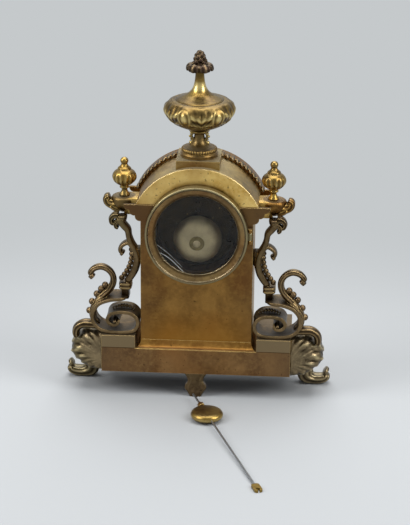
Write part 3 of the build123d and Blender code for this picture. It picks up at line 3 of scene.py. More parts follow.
import bpy
import numpy as np
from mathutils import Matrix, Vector


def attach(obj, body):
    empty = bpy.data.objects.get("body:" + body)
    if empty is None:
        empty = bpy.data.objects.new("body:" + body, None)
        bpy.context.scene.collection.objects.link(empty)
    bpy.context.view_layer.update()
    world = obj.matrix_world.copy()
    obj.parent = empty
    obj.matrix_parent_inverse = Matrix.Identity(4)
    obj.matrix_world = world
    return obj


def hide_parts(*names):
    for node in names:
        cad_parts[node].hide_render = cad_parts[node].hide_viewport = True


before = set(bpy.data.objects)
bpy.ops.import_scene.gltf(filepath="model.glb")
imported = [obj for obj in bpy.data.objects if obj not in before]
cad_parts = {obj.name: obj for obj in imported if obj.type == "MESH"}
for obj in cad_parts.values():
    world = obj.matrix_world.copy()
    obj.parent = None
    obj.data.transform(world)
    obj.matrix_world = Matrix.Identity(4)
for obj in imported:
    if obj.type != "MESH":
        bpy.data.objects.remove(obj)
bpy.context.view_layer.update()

# Cast case: base, cove moulding, shell, panels, plinth and the fixed collars of the two round openings.
# Brass castings whose lacquer is long gone, screwed together from inside.
# The CAD solids have their shapes already, so they only get their metal here.

axis_height = 178


def linear(code):
    """sRGB hex code as linear red, green, blue and alpha."""
    share = np.array([int(code[i:i + 2], 16) for i in (1, 3, 5)]) / 255
    return (*np.where(share <= 0.04045, share / 12.92, ((share + 0.055) / 1.055) ** 2.4), 1.0)


def add(tree, kind, inputs=None, **settings):
    """Adds a node with its settings, fills its inputs with values or links, and hands back its outputs."""
    node = tree.nodes.new(kind)
    for key, value in settings.items():
        setattr(node, key, value)
    for key, value in (inputs or {}).items():
        if isinstance(value, bpy.types.NodeSocket):
            tree.links.new(value, node.inputs[key])
        else:
            node.inputs[key].default_value = value
    return node.outputs


def new_material(name):
    """Empty node material and its tree."""
    material = bpy.data.materials.new(name)
    material.use_nodes = True
    material.node_tree.nodes.clear()
    return material, material.node_tree


def aged_brass(name, deep, mid, rubbed, gilt, smooth, rough, carved=False, dust=0.5, film="#736b56", bands=()):
    """Old cast brass: brown in clouds, golden where it is rubbed, bright on worn edges, dull with dust on top.

    Widths of the patterns: stains 77 mm, clouds 30 mm, spots 4 mm, pits 3 mm, casting grain 0.8 mm.
    A carved piece has its relief as an attribute: hollows go dark and ridges are rubbed bright.
    A band gives its measure, where it starts and is full in metres, its strength and its colour.
    """
    material, tree = new_material(name)
    place = add(tree, "ShaderNodeTexCoord")
    noise = {}
    for pattern, scale, detail, roughness in (
        ("stains", 13, 2, 0.5), ("clouds", 33, 4, 0.6), ("spots", 250, 5, 0.65),
        ("pits", 330, 1, 0.5), ("grain", 1250, 2, 0.5),
    ):
        noise[pattern] = add(tree, "ShaderNodeTexNoise", {
            "Vector": place["Object"], "Scale": scale, "Detail": detail, "Roughness": roughness,
        })["Fac"]
    cloudy = add(tree, "ShaderNodeMapRange", {"Value": noise["clouds"], "From Min": 0.37, "From Max": 0.63})[0]
    layers = [
        (noise["spots"], 0.46, 0.76, 0.6, rubbed),
        (noise["stains"], 0.46, 0.66, 0.65, "#5f553a" if carved else "#7a4a20"),
        (noise["pits"], 0.7, 0.76, 0.6, "#2c1e12"),
    ]
    if bands:
        spot = add(tree, "ShaderNodeSeparateXYZ", {0: place["Object"]})
        from_axis = add(tree, "ShaderNodeVectorMath", {
            0: place["Object"], 1: (1, 0, 1), 2: (0, 0, -axis_height / 1000),
        }, operation="MULTIPLY_ADD")[0]
        measures = {
            "radius": add(tree, "ShaderNodeVectorMath", {0: from_axis}, operation="LENGTH")["Value"],
            "side": add(tree, "ShaderNodeMath", {0: spot["X"]}, operation="ABSOLUTE")[0],
            "height": spot["Z"],
        }
        layers += [(measures[measure], *band) for measure, *band in bands]
    # The bevelled normal turns away from the face's own only along edges, and edges wear first.
    soft_edge = add(tree, "ShaderNodeBevel", {"Radius": 0.0011}, samples=4)[0]
    face = add(tree, "ShaderNodeNewGeometry")["Normal"]
    bend = add(tree, "ShaderNodeVectorMath", {0: soft_edge, 1: face}, operation="DOT_PRODUCT")["Value"]
    edge = add(tree, "ShaderNodeMapRange", {"Value": bend, "From Min": 0.995, "From Max": 0.86})[0]
    worn = add(tree, "ShaderNodeMath", {0: edge, 1: noise["spots"]}, operation="MULTIPLY", use_clamp=True)[0]
    if carved:
        relief = add(tree, "ShaderNodeAttribute", attribute_name="relief")["Fac"]
        layers.append((relief, 0.45, 0.05, 0.85, "#1d150d"))
        ridge = add(tree, "ShaderNodeMapRange", {
            "Value": relief, "From Min": 0.6, "From Max": 1.0, "To Max": 0.8,
        })[0]
        worn = add(tree, "ShaderNodeMath", {0: worn, 1: ridge}, operation="MAXIMUM")[0]
    # Dust lies on what faces up, thicker in the clouds, and takes the gloss and the metal away; with a dark
    # film it is also painted shade on the tops.
    upward = add(tree, "ShaderNodeSeparateXYZ", {0: place["Normal"]})["Z"]
    top = add(tree, "ShaderNodeMapRange", {
        "Value": upward, "From Min": 0.75, "From Max": 1.0, "To Max": dust,
    })[0]
    dust_and_shade = add(tree, "ShaderNodeMath", {
        0: top, 1: cloudy, 2: top,
    }, operation="MULTIPLY_ADD", use_clamp=True)[0]
    dust_and_shade = add(tree, "ShaderNodeMath", {0: dust_and_shade, 1: 0.75}, operation="MULTIPLY")[0]
    colour = add(tree, "ShaderNodeMix", {0: cloudy, 6: linear(deep), 7: linear(mid)}, data_type="RGBA")[2]
    coats = []
    for value, start, full, strength, tint in layers:
        coats.append((add(tree, "ShaderNodeMapRange", {
            "Value": value, "From Min": start, "From Max": full, "To Max": strength,
        })[0], tint))
    for share, tint in (*coats, (worn, gilt), (dust_and_shade, film)):
        colour = add(tree, "ShaderNodeMix", {0: share, 6: colour, 7: linear(tint)}, data_type="RGBA")[2]
    gloss = add(tree, "ShaderNodeMapRange", {
        "Value": noise["spots"], "From Min": 0.3, "From Max": 0.7, "To Min": smooth, "To Max": rough,
    })[0]
    gloss = add(tree, "ShaderNodeMath", {
        0: dust_and_shade, 1: 0.35, 2: gloss,
    }, operation="MULTIPLY_ADD", use_clamp=True)[0]
    bare = add(tree, "ShaderNodeMapRange", {"Value": dust_and_shade, "To Min": 1.0, "To Max": 0.35})[0]
    normal = soft_edge
    for pattern, strength, distance in (("grain", 0.12, 0.0004), ("spots", 0.1, 0.0008)):
        normal = add(tree, "ShaderNodeBump", {
            "Height": noise[pattern], "Strength": strength, "Distance": distance, "Normal": normal,
        })[0]
    metal = add(tree, "ShaderNodeBsdfPrincipled", {
        "Base Color": colour, "Metallic": bare, "Roughness": gloss, "Normal": normal,
    })[0]
    add(tree, "ShaderNodeOutputMaterial", {"Surface": metal})
    return material


def finish(material, *nodes):
    """Gives the CAD nodes that material."""
    for node in nodes:
        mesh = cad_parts[node].data
        mesh.materials.clear()
        mesh.materials.append(material)


# The walls look brown with golden clouds. The base is browner at its ends, with a dark seam under paler blocks,
# and the waist is browner at its sides, with a painted golden sheen at its foot and painted shade under the
# arch.
# The dark film on what faces up is dust and painted shade: it darkens the block tops seen inside the scroll
# coils.
brown = {
    "deep": "#664826", "mid": "#8c6836", "rubbed": "#a27b41", "gilt": "#e0c07a",
    "smooth": 0.3, "rough": 0.44, "dust": 0.8, "film": "#4a3c28",
}
base_brown = {"deep": "#6a4e32", "mid": "#906e46", "rubbed": "#a68150"}
browned_ends = [
    ("side", 0.045, 0.1, 0.55, "#4f4034"),
    ("height", 0.0526, 0.0527, 0.8, "#2e2114"),
    ("height", 0.0532, 0.0534, 0.8, "#8a785a"),
]
# Painted light on the waist: a golden sheen towards its foot and painted shade under the arch; the sides go
# browner.
waist_sheen_and_shade = [
    ("height", 0.1, 0.06, 0.5, "#a87428"),
    ("side", 0.03, 0.062, 0.4, "#5c4630"),
    ("height", 0.15, 0.195, 0.6, "#54422f"),
]
finish(aged_brass("patinated_brass", **brown), "front_panel", "front_collar", "rear_collar", "hinge_pins")
finish(aged_brass("base_brass", **brown | base_brown, bands=browned_ends), "base_box")
finish(aged_brass("waist_brass", **brown, bands=waist_sheen_and_shade), "rear_panel")
# The crescent over the door kept its gold and shines, the cove is reddish, and plinth and shell are dusty.
golden_brass = aged_brass("golden_brass", "#cfa656", "#f2d080", "#f6da90", "#fbecbc", 0.26, 0.42, dust=0.2)
cove_brass = aged_brass("cove_brass", "#7a5426", "#a0763a", "#b48a44", "#e6c880", 0.32, 0.46, dust=0.2)
dusty_brass = aged_brass(
    "dusty_brass", "#7c6840", "#a98e54", "#bc9f64", "#e6ca84", 0.34, 0.5, dust=0.6, film="#857e66",
)
finish(golden_brass, "rear_tympanum")
finish(cove_brass, "waist_moulding")
finish(dusty_brass, "urn_plinth", "case_shell")

# Rear foot: a leaf plate under the middle of the base that narrows to a neck and spreads in two lobes.
# Cast brass with ribs that fan out over its face, screwed to the base behind the rear wall.


def flowing_line(points, count, steps=24):
    """Catmull-Rom curve through the points, drawn in steps and read again at equal lengths along it."""
    knot = np.asarray(points, float)
    ends = np.vstack([2 * knot[0] - knot[1], knot, 2 * knot[-1] - knot[-2]])
    spot = np.linspace(0, len(knot) - 1, steps * (len(knot) - 1) + 1)
    span = np.minimum(spot.astype(int), len(knot) - 2)
    f = (spot - span)[:, None]
    a, b, c, d = (ends[span + i] for i in range(4))
    dense = 0.5 * (2 * b + (c - a) * f + (2 * a - 5 * b + 4 * c - d) * f**2 + (3 * b - a - 3 * c + d) * f**3)
    run = np.concatenate([[0], np.cumsum(np.linalg.norm(np.diff(dense, axis=0), axis=1))])
    at = np.linspace(0, run[-1], count)
    return np.column_stack([np.interp(at, run, column) for column in dense.T])


def skin(rows, relief):
    """Closes a grid of rings into a solid skin: quads between rings, a fan at each end, facing outwards."""
    count, around, _ = rows.shape
    index = np.arange(count * around).reshape(count, around)
    onward = np.roll(index, -1, axis=1)
    quads = np.stack([index[:-1], onward[:-1], onward[1:], index[1:]], -1).reshape(-1, 4)
    first, last = count * around, count * around + 1
    fans = np.concatenate([
        np.stack([np.full(around, first), onward[0], index[0]], -1),
        np.stack([np.full(around, last), index[-1], onward[-1]], -1),
    ])
    points = np.concatenate([rows.reshape(-1, 3), [rows[0].mean(0), rows[-1].mean(0)]])
    height = np.broadcast_to(relief, rows.shape[:2])
    height = np.concatenate([height.ravel(), [height[0].mean(), height[-1].mean()]])
    corner = points[np.concatenate([quads[:, :3], quads[:, [0, 2, 3]], fans])]
    volume = np.einsum("ij,ij->i", corner[:, 0], np.cross(corner[:, 1], corner[:, 2])).sum()
    if volume < 0:
        quads, fans = quads[:, ::-1], fans[:, ::-1]
    return points, quads, fans, height


def link_piece(mesh, material, body, hides=()):
    """Makes the mesh an object that rides on a body and stands for the CAD nodes it hides."""
    mesh.materials.append(material)
    piece = bpy.data.objects.new(mesh.name, mesh)
    bpy.context.scene.collection.objects.link(piece)
    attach(piece, body)
    if hides:
        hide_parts(*hides)


def make_piece(name, skins, material, body, hides=()):
    """Joins skins given in millimetres into one smooth mesh in metres, with the relief kept at each point."""
    starts = np.cumsum([0] + [len(points) for points, *_ in skins])
    faces = []
    for start, (_, quads, fans, _) in zip(starts, skins):
        faces += (quads + start).tolist() + (fans + start).tolist()
    mesh = bpy.data.meshes.new(name)
    mesh.from_pydata((np.concatenate([points for points, *_ in skins]) / 1000).tolist(), [], faces)
    mesh.shade_smooth()
    relief = np.concatenate([height for *_, height in skins])
    mesh.attributes.new("relief", "FLOAT", "POINT").data.foreach_set("value", relief)
    link_piece(mesh, material, body, hides)


def squared(turn, power):
    """Cosine and sine pushed towards a rounded square as the power goes down."""
    c, s = np.cos(turn), np.sin(turn)
    return np.sign(c) * np.abs(c) ** power, np.sign(s) * np.abs(s) ** power


def leaf_plate(outline, count, rear, front, ribs, around=96):
    """Upright plate of rounded-square rings, stacked along an outline of half width and height.

    The rear face carries ribs: half a cosine of the share across, turned once more from foot to top.
    """
    line = flowing_line(outline, count)
    across, out = squared(np.linspace(0, 2 * np.pi, around, endpoint=False), 0.35)
    share = np.linspace(0, 1, count)[:, None]
    fan = 0.5 + 0.5 * np.cos(ribs * np.pi * across + np.pi * share * 2)
    rows = np.empty((count, around, 3))
    rows[..., 0] = line[:, :1] * across
    rows[..., 1] = (rear + front) / 2 + (rear - front) / 2 * out + np.where(out > 0.5, fan * 0.5 - 0.25, 0)
    rows[..., 2] = np.clip(line[:, 1:], outline[0][1], outline[-1][1])
    return skin(rows, 0.42 + 0.12 * fan)


# Dark carved brass: black-brown hollows under dull ridges, which make the carving stand out.
carved_dark = aged_brass(
    "carved_dark_brass", "#3e3122", "#68553d", "#8b7352", "#bfa470", 0.3, 0.46, carved=True, dust=0.08,
)
leaf_outline = [
    (6, 0), (7.4, 2.5), (8.6, 5), (11, 8.5), (11.1, 11.5), (8.6, 15.5), (8, 18), (9.4, 22), (12, 26),
]
leaf = leaf_plate(leaf_outline, 48, rear=35.6, front=28, ribs=5)
make_piece("rear_foot_leaf", [leaf], carved_dark, "case", ["rear_foot"])

# Side feet: an acanthus cap wraps each end of the base, with an ankle and a toe that curls up below it.
# Cast brass like the rest, one casting a side, pinned to the base's end wall.

sides = ((-1, "left"), (1, "right"))
base_end = 97.5


def swept(
    points, count, middle, side, around=28, square=0.7, hollow=0.0, veins=0, vein_height=0.0, floor=-np.inf,
):
    """Rounded section carried along a flowing line in the X-Z plane.

    Each point gives x, z, half thickness and half depth. The section is a rounded rectangle, waisted by the
    hollow share so that its two edges stand up as lips; veins ripple round it as a cosine, and both ends close
    in a round nose, the root of one less a high power of the share along the line.
    """
    line = flowing_line(points, count)
    heading = np.gradient(line[:, :2], axis=0)
    heading /= np.linalg.norm(heading, axis=1)[:, None]
    share = np.linspace(-1, 1, count)
    nose = np.sqrt(np.clip(1.003 - np.abs(share) ** 20, 0.003, 1))[:, None]
    turn = np.linspace(0, 2 * np.pi, around, endpoint=False)
    across, along = squared(turn, square)
    wave = np.cos(veins * turn)
    swell = (1 - hollow + hollow * along**4) * (1 + vein_height * wave)
    out = line[:, 2:3] * nose * across * swell
    rows = np.empty((count, around, 3))
    rows[..., 0] = side * (line[:, 0:1] - heading[:, 1:2] * out)
    rows[..., 1] = middle + line[:, 3:4] * nose * along * (1 + vein_height * wave)
    rows[..., 2] = np.maximum(line[:, 1:2] + heading[:, 0:1] * out, floor)
    return skin(rows, 0.42 + 0.4 * wave if veins else 0.3 + 0.36 * along**4)


def acanthus_cap(outline, side, count=80, around=96):
    """Swelling leaf at the base's end: an outline from end wall to ankle, carried along the depth.

    Its reach is full in the middle and rounds off at both ends, as the root of one less the depth's fourth
    power. Ridges are a cosine of the share round the outline, turned further where the reach is less, so that
    they swirl; finer veins run between them. Both lift the leaf away from a point at its heart.
    """
    line = flowing_line(outline, around)
    share = np.linspace(0, 1, around)
    depth = np.sin(np.linspace(-0.5, 0.5, count) * np.pi)[:, None]
    reach = (1 - np.abs(depth) ** 4) ** 0.5
    fan = np.cos(2 * np.pi * (share * 7 + 1.4 * (1 - reach) + depth * 0.9 + 0.35 * np.sin(3 * np.pi * share)))
    fan *= 0.65 + 0.35 * np.cos(2 * np.pi * (depth * 3 - share * 3))
    fine = np.cos(2 * np.pi * (share * 16 + depth * 2.5))
    window = np.sin(np.pi * share) ** 0.5 * (0.7 + 0.3 * reach) * (1 - np.abs(depth) ** 24)
    lift = (1.05 * fan + 0.25 * fine) * window
    heart_x, heart_z, middle_y, middle_z = 104, 42, 4, 36
    swing = np.arctan2(line[:, 1] - heart_z, line[:, 0] - heart_x)
    far = (line[:, 0] - base_end) * (0.06 + 0.94 * reach) + lift * np.cos(swing)
    high = (line[:, 1] - middle_z) * (0.2 + 0.8 * reach) + lift * np.sin(swing)
    rows = np.empty((count, around, 3))
    rows[..., 0] = side * np.maximum(base_end + far, base_end)
    rows[..., 1] = middle_y + (26 + 1.6 * fan * window * (1 - reach)) * depth
    rows[..., 2] = middle_z + high * (1 - 0.12 * np.clip(-depth, 0, 1))
    return skin(rows, 0.44 + (0.5 * fan + 0.12 * fine) * window)


# Greyish and half bright, with pale ridges: the feet are handled and gather dust.
carved_grey = aged_brass(
    "carved_grey_brass", "#5e523f", "#8f7d5f", "#aa9772", "#dccb9c", 0.3, 0.46,
    carved=True, dust=0.3, film="#6f6a58",
)
cap_outline = [
    (97.6, 65.6), (108, 65.8), (117, 65.4), (120.4, 62.6), (122.4, 58.6), (127, 54), (130.6, 48), (131.6, 41),
    (130, 35.4), (125.4, 31), (119.6, 26), (112, 22), (97.6, 20),
]
ankle_and_toe = [
    (110, 34, 10, 9.4), (111.4, 24, 8.6, 9.4), (112.6, 15, 8.2, 9.2), (114.4, 8.4, 7.8, 8.8),
    (121, 5.2, 5.2, 8), (128.6, 4.9, 4.8, 7.4), (134.6, 7, 4.2, 6.8), (136.2, 11.4, 3.6, 6.2),
]
toe_curl = [(136, 13, 3.8, 6.8), (133.8, 15, 3.8, 6.8)]
inner_leaf = [(100, 28, 3, 6), (104.5, 20.5, 2.6, 5.6), (101.5, 14.5, 2.2, 5), (98.6, 17, 2, 4.4)]
outer_leaf = [(110, 27, 3.2, 7), (116.5, 20.5, 2.6, 6), (115.2, 15.5, 2.2, 5)]
toe_middle, inner_leaf_middle, outer_leaf_middle = -11.5, -9, -5
just_off_table = 0.02
for side, name in sides:
    foot = [
        acanthus_cap(cap_outline, side),
        swept(
            ankle_and_toe, 80, toe_middle, side,
            around=44, square=0.75, veins=9, vein_height=0.07, floor=just_off_table,
        ),
        swept(toe_curl, 16, toe_middle, side, square=0.95),
        swept(inner_leaf, 40, inner_leaf_middle, side, around=32, veins=6, vein_height=0.1),
        swept(outer_leaf, 36, outer_leaf_middle, side, around=32, veins=6, vein_height=0.1),
    ]
    make_piece("acanthus_foot_" + name, foot, carved_grey, "case", ["foot_" + name])

# Lower scrolls: one broad ribbon rolls up on each block and runs in to the bracket's foot.
# Its edges stand up as lips; a leafy tail with a row of beads grows from its back and a hook from its heel.
# One brass casting a side, darker than the case, screwed down on the block.


def ball(high):
    """Ball of radius one in rings of latitude from pole to pole, with the same relief all over."""
    tilt = np.linspace(0.06, np.pi - 0.06, 10)[:, None]
    turn = np.linspace(0, 2 * np.pi, 14, endpoint=False)
    across, out, up = np.sin(tilt) * np.cos(turn), np.sin(tilt) * np.sin(turn), np.cos(tilt)
    return skin(np.stack(np.broadcast_arrays(across, out, up), -1), high)


def copies(shape, turns, places):
    """The same skin turned and placed several times: one matrix and one place for each copy."""
    points, quads, fans, height = shape
    step = len(points) * np.arange(len(places))[:, None, None]
    return (
        (np.einsum("kij,nj->kni", turns, points) + np.asarray(places, float)[:, None]).reshape(-1, 3),
        (quads[None] + step).reshape(-1, 4), (fans[None] + step).reshape(-1, 3), np.tile(height, len(places)),
    )


def bead_row(line, middle, side, radii, high):
    """Beads at points of x and z: one ball each, stretched by three radii shared by all or given for each."""
    line = np.asarray(line, float)
    turns = np.broadcast_to(np.eye(3) * np.asarray(radii, float)[..., None, :], (len(line), 3, 3))
    places = np.column_stack([side * line[:, 0], np.full(len(line), middle), line[:, 1]])
    return copies(ball(high), turns, places)


ribbon_line = [
    (83, 82.6), (80.4, 81.4), (80.6, 78), (84.4, 76.4), (89, 78), (91.4, 82.8), (87.4, 88.6), (77, 91),
    (67, 89.6), (61, 84), (60.2, 77), (64, 71.2), (73, 68.8), (88, 68.8), (99.3, 71.8), (106, 79.6),
    (106.4, 89.5), (100, 99), (88.5, 103.8), (79, 104.5), (71, 104.5),
]
ribbon_section = (2.3, 14)
ribbon_eye = [(82.2, 80.8, 3, 14.3), (85, 80, 3, 14.3)]
tail = [
    (103.5, 93, 4.2, 6.6), (100.6, 99.5, 4.4, 6.4), (96, 105.4, 4.1, 6), (90.5, 111, 3.7, 5.6),
    (86.6, 118, 3.3, 5.2), (86.3, 125.5, 3.1, 5), (90, 132, 3, 4.8), (97, 135.8, 3, 4.8),
    (104.5, 134.4, 3, 4.7), (109.3, 129.6, 3, 4.6), (109.8, 126, 3, 4.5),
]
tail_eye = [(109.6, 127, 3.5, 5.2), (106.8, 124, 3.4, 5)]
heel_hook = [
    (100.5, 72.2, 4, 7), (110, 72.4, 4.1, 7), (118, 72.2, 4, 6.8), (124, 68.2, 3.9, 6.6),
    (125.6, 61.6, 3.7, 6.2), (124, 57, 3.4, 5.8),
]
back_leaf = [
    (100.5, 73.4, 2.6, 7), (106.6, 79.8, 3.4, 7), (107.2, 89, 3.6, 7), (102.4, 97, 3.8, 7),
    (96.6, 104, 3.8, 6.4),
]
knobs = [(94.6, 115.6), (98.8, 111.2), (103.4, 105.6), (108.4, 97), (111.2, 87)]
knob_radii = (3.5, 4.0, 3.5)
leaf_tips = flowing_line([(64, 91), (70, 94), (78, 94.4), (86, 92)], 9)
tip_radii = (0.65 + 0.35 * np.sin(np.pi * np.linspace(0, 1, 9)))[:, None] * (1.6, 3.2, 2.0)
scroll_middle, tip_middle = 20, 22
for side, name in sides:
    scroll = [
        swept(
            [(*spot, *ribbon_section) for spot in ribbon_line], 220, scroll_middle, side,
            around=44, square=0.3, hollow=0.45,
        ),
        swept(ribbon_eye, 14, scroll_middle, side, square=0.9),
        swept(tail, 110, scroll_middle, side, around=40, square=0.9, veins=8, vein_height=0.07),
        swept(tail_eye, 16, scroll_middle, side, square=0.95),
        swept(heel_hook, 60, scroll_middle, side, around=36, square=0.9, veins=7, vein_height=0.06),
        bead_row(knobs, scroll_middle, side, knob_radii, high=0.45),
        bead_row(leaf_tips, tip_middle, side, tip_radii, high=0.25),
        swept(back_leaf, 60, scroll_middle, side, around=36, square=0.9, veins=9, vein_height=0.08),
    ]
    make_piece(
        "lower_scroll_ribbon_" + name, scroll, carved_dark, "case", ["lower_scroll_" + name],
    )

# Upper brackets: a beaded S scroll under each shoulder stands on a collared foot beside the lower scroll's arm.
# Cast brass, screwed to the shell at the pad in the middle.


def stacked(levels, x, y, side, square=0.35, around=48):
    """Block of rounded-square rings: each level gives height, half width and half depth."""
    line = np.asarray(levels, float)
    across, out = squared(np.linspace(0, 2 * np.pi, around, endpoint=False), square)
    rows = np.empty((len(line), around, 3))
    rows[..., 0] = side * (x + line[:, 1:2] * across)
    rows[..., 1] = y + line[:, 2:3] * out
    rows[..., 2] = line[:, 0:1]
    return skin(rows, np.clip((line[:, 1:2] - 3.5) / 3.5, 0.2, 0.9))


s_scroll = [
    (81, 189.4, 5.4, 6.5), (79.4, 186, 5.2, 6.5), (75.6, 180.4, 4.6, 6.5), (71.4, 175, 4.2, 6.5),
    (70.2, 168, 3.9, 6.5), (67.8, 160.6, 4.2, 6.8), (63.6, 152.4, 4.4, 7), (62, 143.6, 4.7, 7),
    (63.6, 134, 5, 7), (68, 125.5, 4.8, 7), (73.6, 118.2, 4.4, 7),
]
top_leaf = [
    (80, 190.5, 3.2, 6), (85.2, 190, 2.9, 5.8), (88.3, 186.6, 2.5, 5.4), (87.4, 182.4, 2.3, 5),
    (84, 181.6, 2.1, 4.6),
]
under_leaf = [(78.6, 186, 2.8, 5.6), (83, 183, 2.5, 5.2), (83.4, 178.6, 2.2, 4.8), (80.6, 177, 2, 4.4)]
side_curl = [
    (77.4, 149.4, 2.5, 5.6), (79.4, 154, 2.5, 5.8), (76.4, 158.8, 2.6, 6), (71, 161.2, 2.7, 6.2),
    (66.4, 157, 2.7, 6.2),
]
curl_eye = [(77.9, 150.4, 3.2, 6.2), (76.2, 148.8, 3.1, 6)]
pad = [(141, 2.8, 6), (142, 3.4, 7), (155, 3.4, 7), (156, 2.8, 6)]
head = [(184.6, 3.4, 5), (186, 4.6, 6.4), (189, 5, 7), (190, 4.8, 6.6)]
collared_foot = [
    (101.5, 3.8, 8.6), (101.9, 4, 9), (111, 4, 9), (111.9, 5.4, 9.2), (112.7, 6.5, 9.6), (114.1, 6.5, 9.6),
    (114.5, 5.4, 9.2), (116.1, 5.4, 9.2), (116.5, 6.5, 9.6), (117.9, 6.5, 9.6), (118.5, 5, 9),
]
bracket_beads = flowing_line([(67.6, 154), (67.4, 146), (69.4, 137), (73.4, 129), (78, 122.6)], 8)
bracket_bead_radii = (2.9, 3.4, 2.9)
bracket_middle, block_middle, bead_middle = 14, 13, 16
pad_x, head_x, foot_x = 60.4, 77, 74
for side, name in sides:
    bracket = [
        swept(s_scroll, 120, bracket_middle, side, around=40, square=0.7, hollow=0.22),
        swept(top_leaf, 48, bracket_middle, side, around=32, veins=7, vein_height=0.09),
        swept(under_leaf, 40, bracket_middle, side, around=32, veins=7, vein_height=0.09),
        swept(side_curl, 52, bracket_middle, side, square=0.8, hollow=0.15),
        swept(curl_eye, 14, bracket_middle, side, square=0.95),
        stacked(pad, pad_x, block_middle, side),
        stacked(head, head_x, block_middle, side, square=0.8),
        stacked(collared_foot, foot_x, block_middle, side),
        bead_row(bracket_beads, bead_middle, side, bracket_bead_radii, high=0.42),
    ]
    make_piece(
        "upper_bracket_" + name, bracket, carved_dark, "case", ["upper_scroll_" + name],
    )

# Shoulder consoles: a round dish on a corbel carries each finial; a small leaf hooks up at its outer end.
# Brass, dusty on top, soldered to the shell's side.


def turned(profile, count, x, y, swell=None, around=96):
    """Profile of radius and height turned about an upright axis.

    The swell gives what is added to the radius by the turn and the height, and the relief.
    """
    line = flowing_line(profile, count)
    turn = np.linspace(0, 2 * np.pi, around, endpoint=False)
    lift, relief = (0, 0.5) if swell is None else swell(turn, line[:, 1:2])
    radius = np.maximum(line[:, 0:1] + lift, 0.05)
    rows = np.stack(np.broadcast_arrays(x + radius * np.cos(turn), y + radius * np.sin(turn), line[:, 1:2]), -1)
    return skin(rows, relief)


# Warm brown with golden ridges, and a dull film on the tops.
carved_brown = aged_brass(
    "carved_brown_brass", "#5a3e1e", "#8a6632", "#a47c3e", "#dcb868", 0.3, 0.46, carved=True, dust=0.3,
)
dish = [
    (3, 190.2), (5.4, 190.6), (8.6, 192.6), (11.6, 196), (13.2, 200), (13.6, 203), (13.2, 205.4), (12, 206.8),
    (10.4, 207.4), (7, 207.4), (1, 207.4),
]
corbel = [(190, 9, 10.4), (190.6, 9.4, 11), (206.6, 9.4, 11), (207.3, 9, 10.4)]
end_leaf = [
    (82, 199.4, 5.4, 9), (88, 198.2, 5.2, 8.6), (92.6, 200.4, 4.6, 8), (93.6, 204, 4, 7.2),
    (90.6, 205.6, 3.4, 6.4),
]
low_leaf = [(80, 193.5, 3, 7), (85.6, 194.4, 2.8, 6.6), (90, 197.6, 2.6, 6)]
finial_axis, corbel_x, low_leaf_middle = 76, 66.6, 3
for side, name in sides:
    console = [
        turned(dish, 64, side * finial_axis, 0),
        stacked(corbel, corbel_x, 0, side, square=0.25),
        swept(end_leaf, 56, 0, side, around=40, square=0.85, veins=9, vein_height=0.09),
        swept(low_leaf, 36, low_leaf_middle, side, around=32, square=0.85, veins=7, vein_height=0.09),
    ]
    make_piece("console_dish_" + name, console, carved_brown, "case", ["console_" + name])

# Finials: turned and gadrooned urns with a ball on top, gilt brass rubbed bright.
# Each stands on its dish and is held by a screw from below.


def gadroons(lobes, low, high, depth):
    """Upright lobes between two heights: the absolute cosine of the turn, faded at both ends by half a sine."""
    def swell(turn, height):
        fade = np.sin(np.pi * np.clip((height - low) / (high - low), 0, 1)) ** 0.7
        lobe = np.abs(np.cos(lobes / 2 * turn))
        return fade * depth * (lobe - 0.7), 0.55 + fade * (lobe - 0.62) * 0.6
    return swell


# Still golden: a warm shine, with brown only in the hollows.
carved_gold = aged_brass(
    "carved_gold_brass", "#6a5028", "#9e8244", "#b69a50", "#ebd390", 0.24, 0.38, carved=True, dust=0.15,
)
finial_profile = [
    (2, 207.4), (5.3, 207.5), (5.5, 208.6), (4.4, 210), (3.1, 212.6), (3, 214.4), (4.8, 215.6), (4.9, 216.6),
    (4, 217.6), (7.4, 219.6), (11, 223.4), (12.2, 227.4), (11, 231.6), (8.4, 234), (6.6, 235), (7, 235.9),
    (6.4, 236.8), (4.4, 238.6), (3.2, 240.6), (3.4, 241.6), (4.1, 243.4), (3.9, 245.2), (2.6, 247),
    (0.4, 247.8),
]
finial_lobes = gadroons(14, 217.4, 232.5, 1.2)
for side, name in sides:
    finial = turned(finial_profile, 110, side * finial_axis, 0, finial_lobes, 112)
    make_piece("finial_urn_" + name, [finial], carved_gold, "case", ["finial_" + name])

# Archivolt eggs: the row of eggs that stands along the rim of the arch.
# They belong to the front panel's brass casting and are as dark as the scrolls.


def spun(angles, start, towards):
    """One turning matrix for each angle, from one axis towards another, with the axes counted from x as 0."""
    turns = np.tile(np.eye(3), (len(angles), 1, 1))
    turns[:, start, start] = turns[:, towards, towards] = np.cos(angles)
    turns[:, towards, start] = np.sin(angles)
    turns[:, start, towards] = -np.sin(angles)
    return turns


def round_dial(radius, depth, angles):
    """Places on a circle about the dial's axis, from twelve o'clock towards +X."""
    return np.column_stack([
        radius * np.sin(angles), np.full(len(angles), depth), axis_height + radius * np.cos(angles),
    ])


egg_turns = np.radians(np.linspace(-64, 64, 29))
egg_ring, egg_depth, egg_radii = 71.3, -25.5, (2.7, 7.4, 2.0)
egg_places = round_dial(egg_ring, egg_depth, egg_turns)
eggs = copies(ball(high=0.5), spun(egg_turns, 2, 0) * egg_radii, egg_places)
make_piece("archivolt_eggs", [eggs], carved_dark, "case")

# Urn: moulded foot with a beaded ring, squashed bowl with swirling sprays, trumpet neck, leaf ring and bud.
# Cast and spun brass, threaded on one tie rod that draws it down on the plinth.


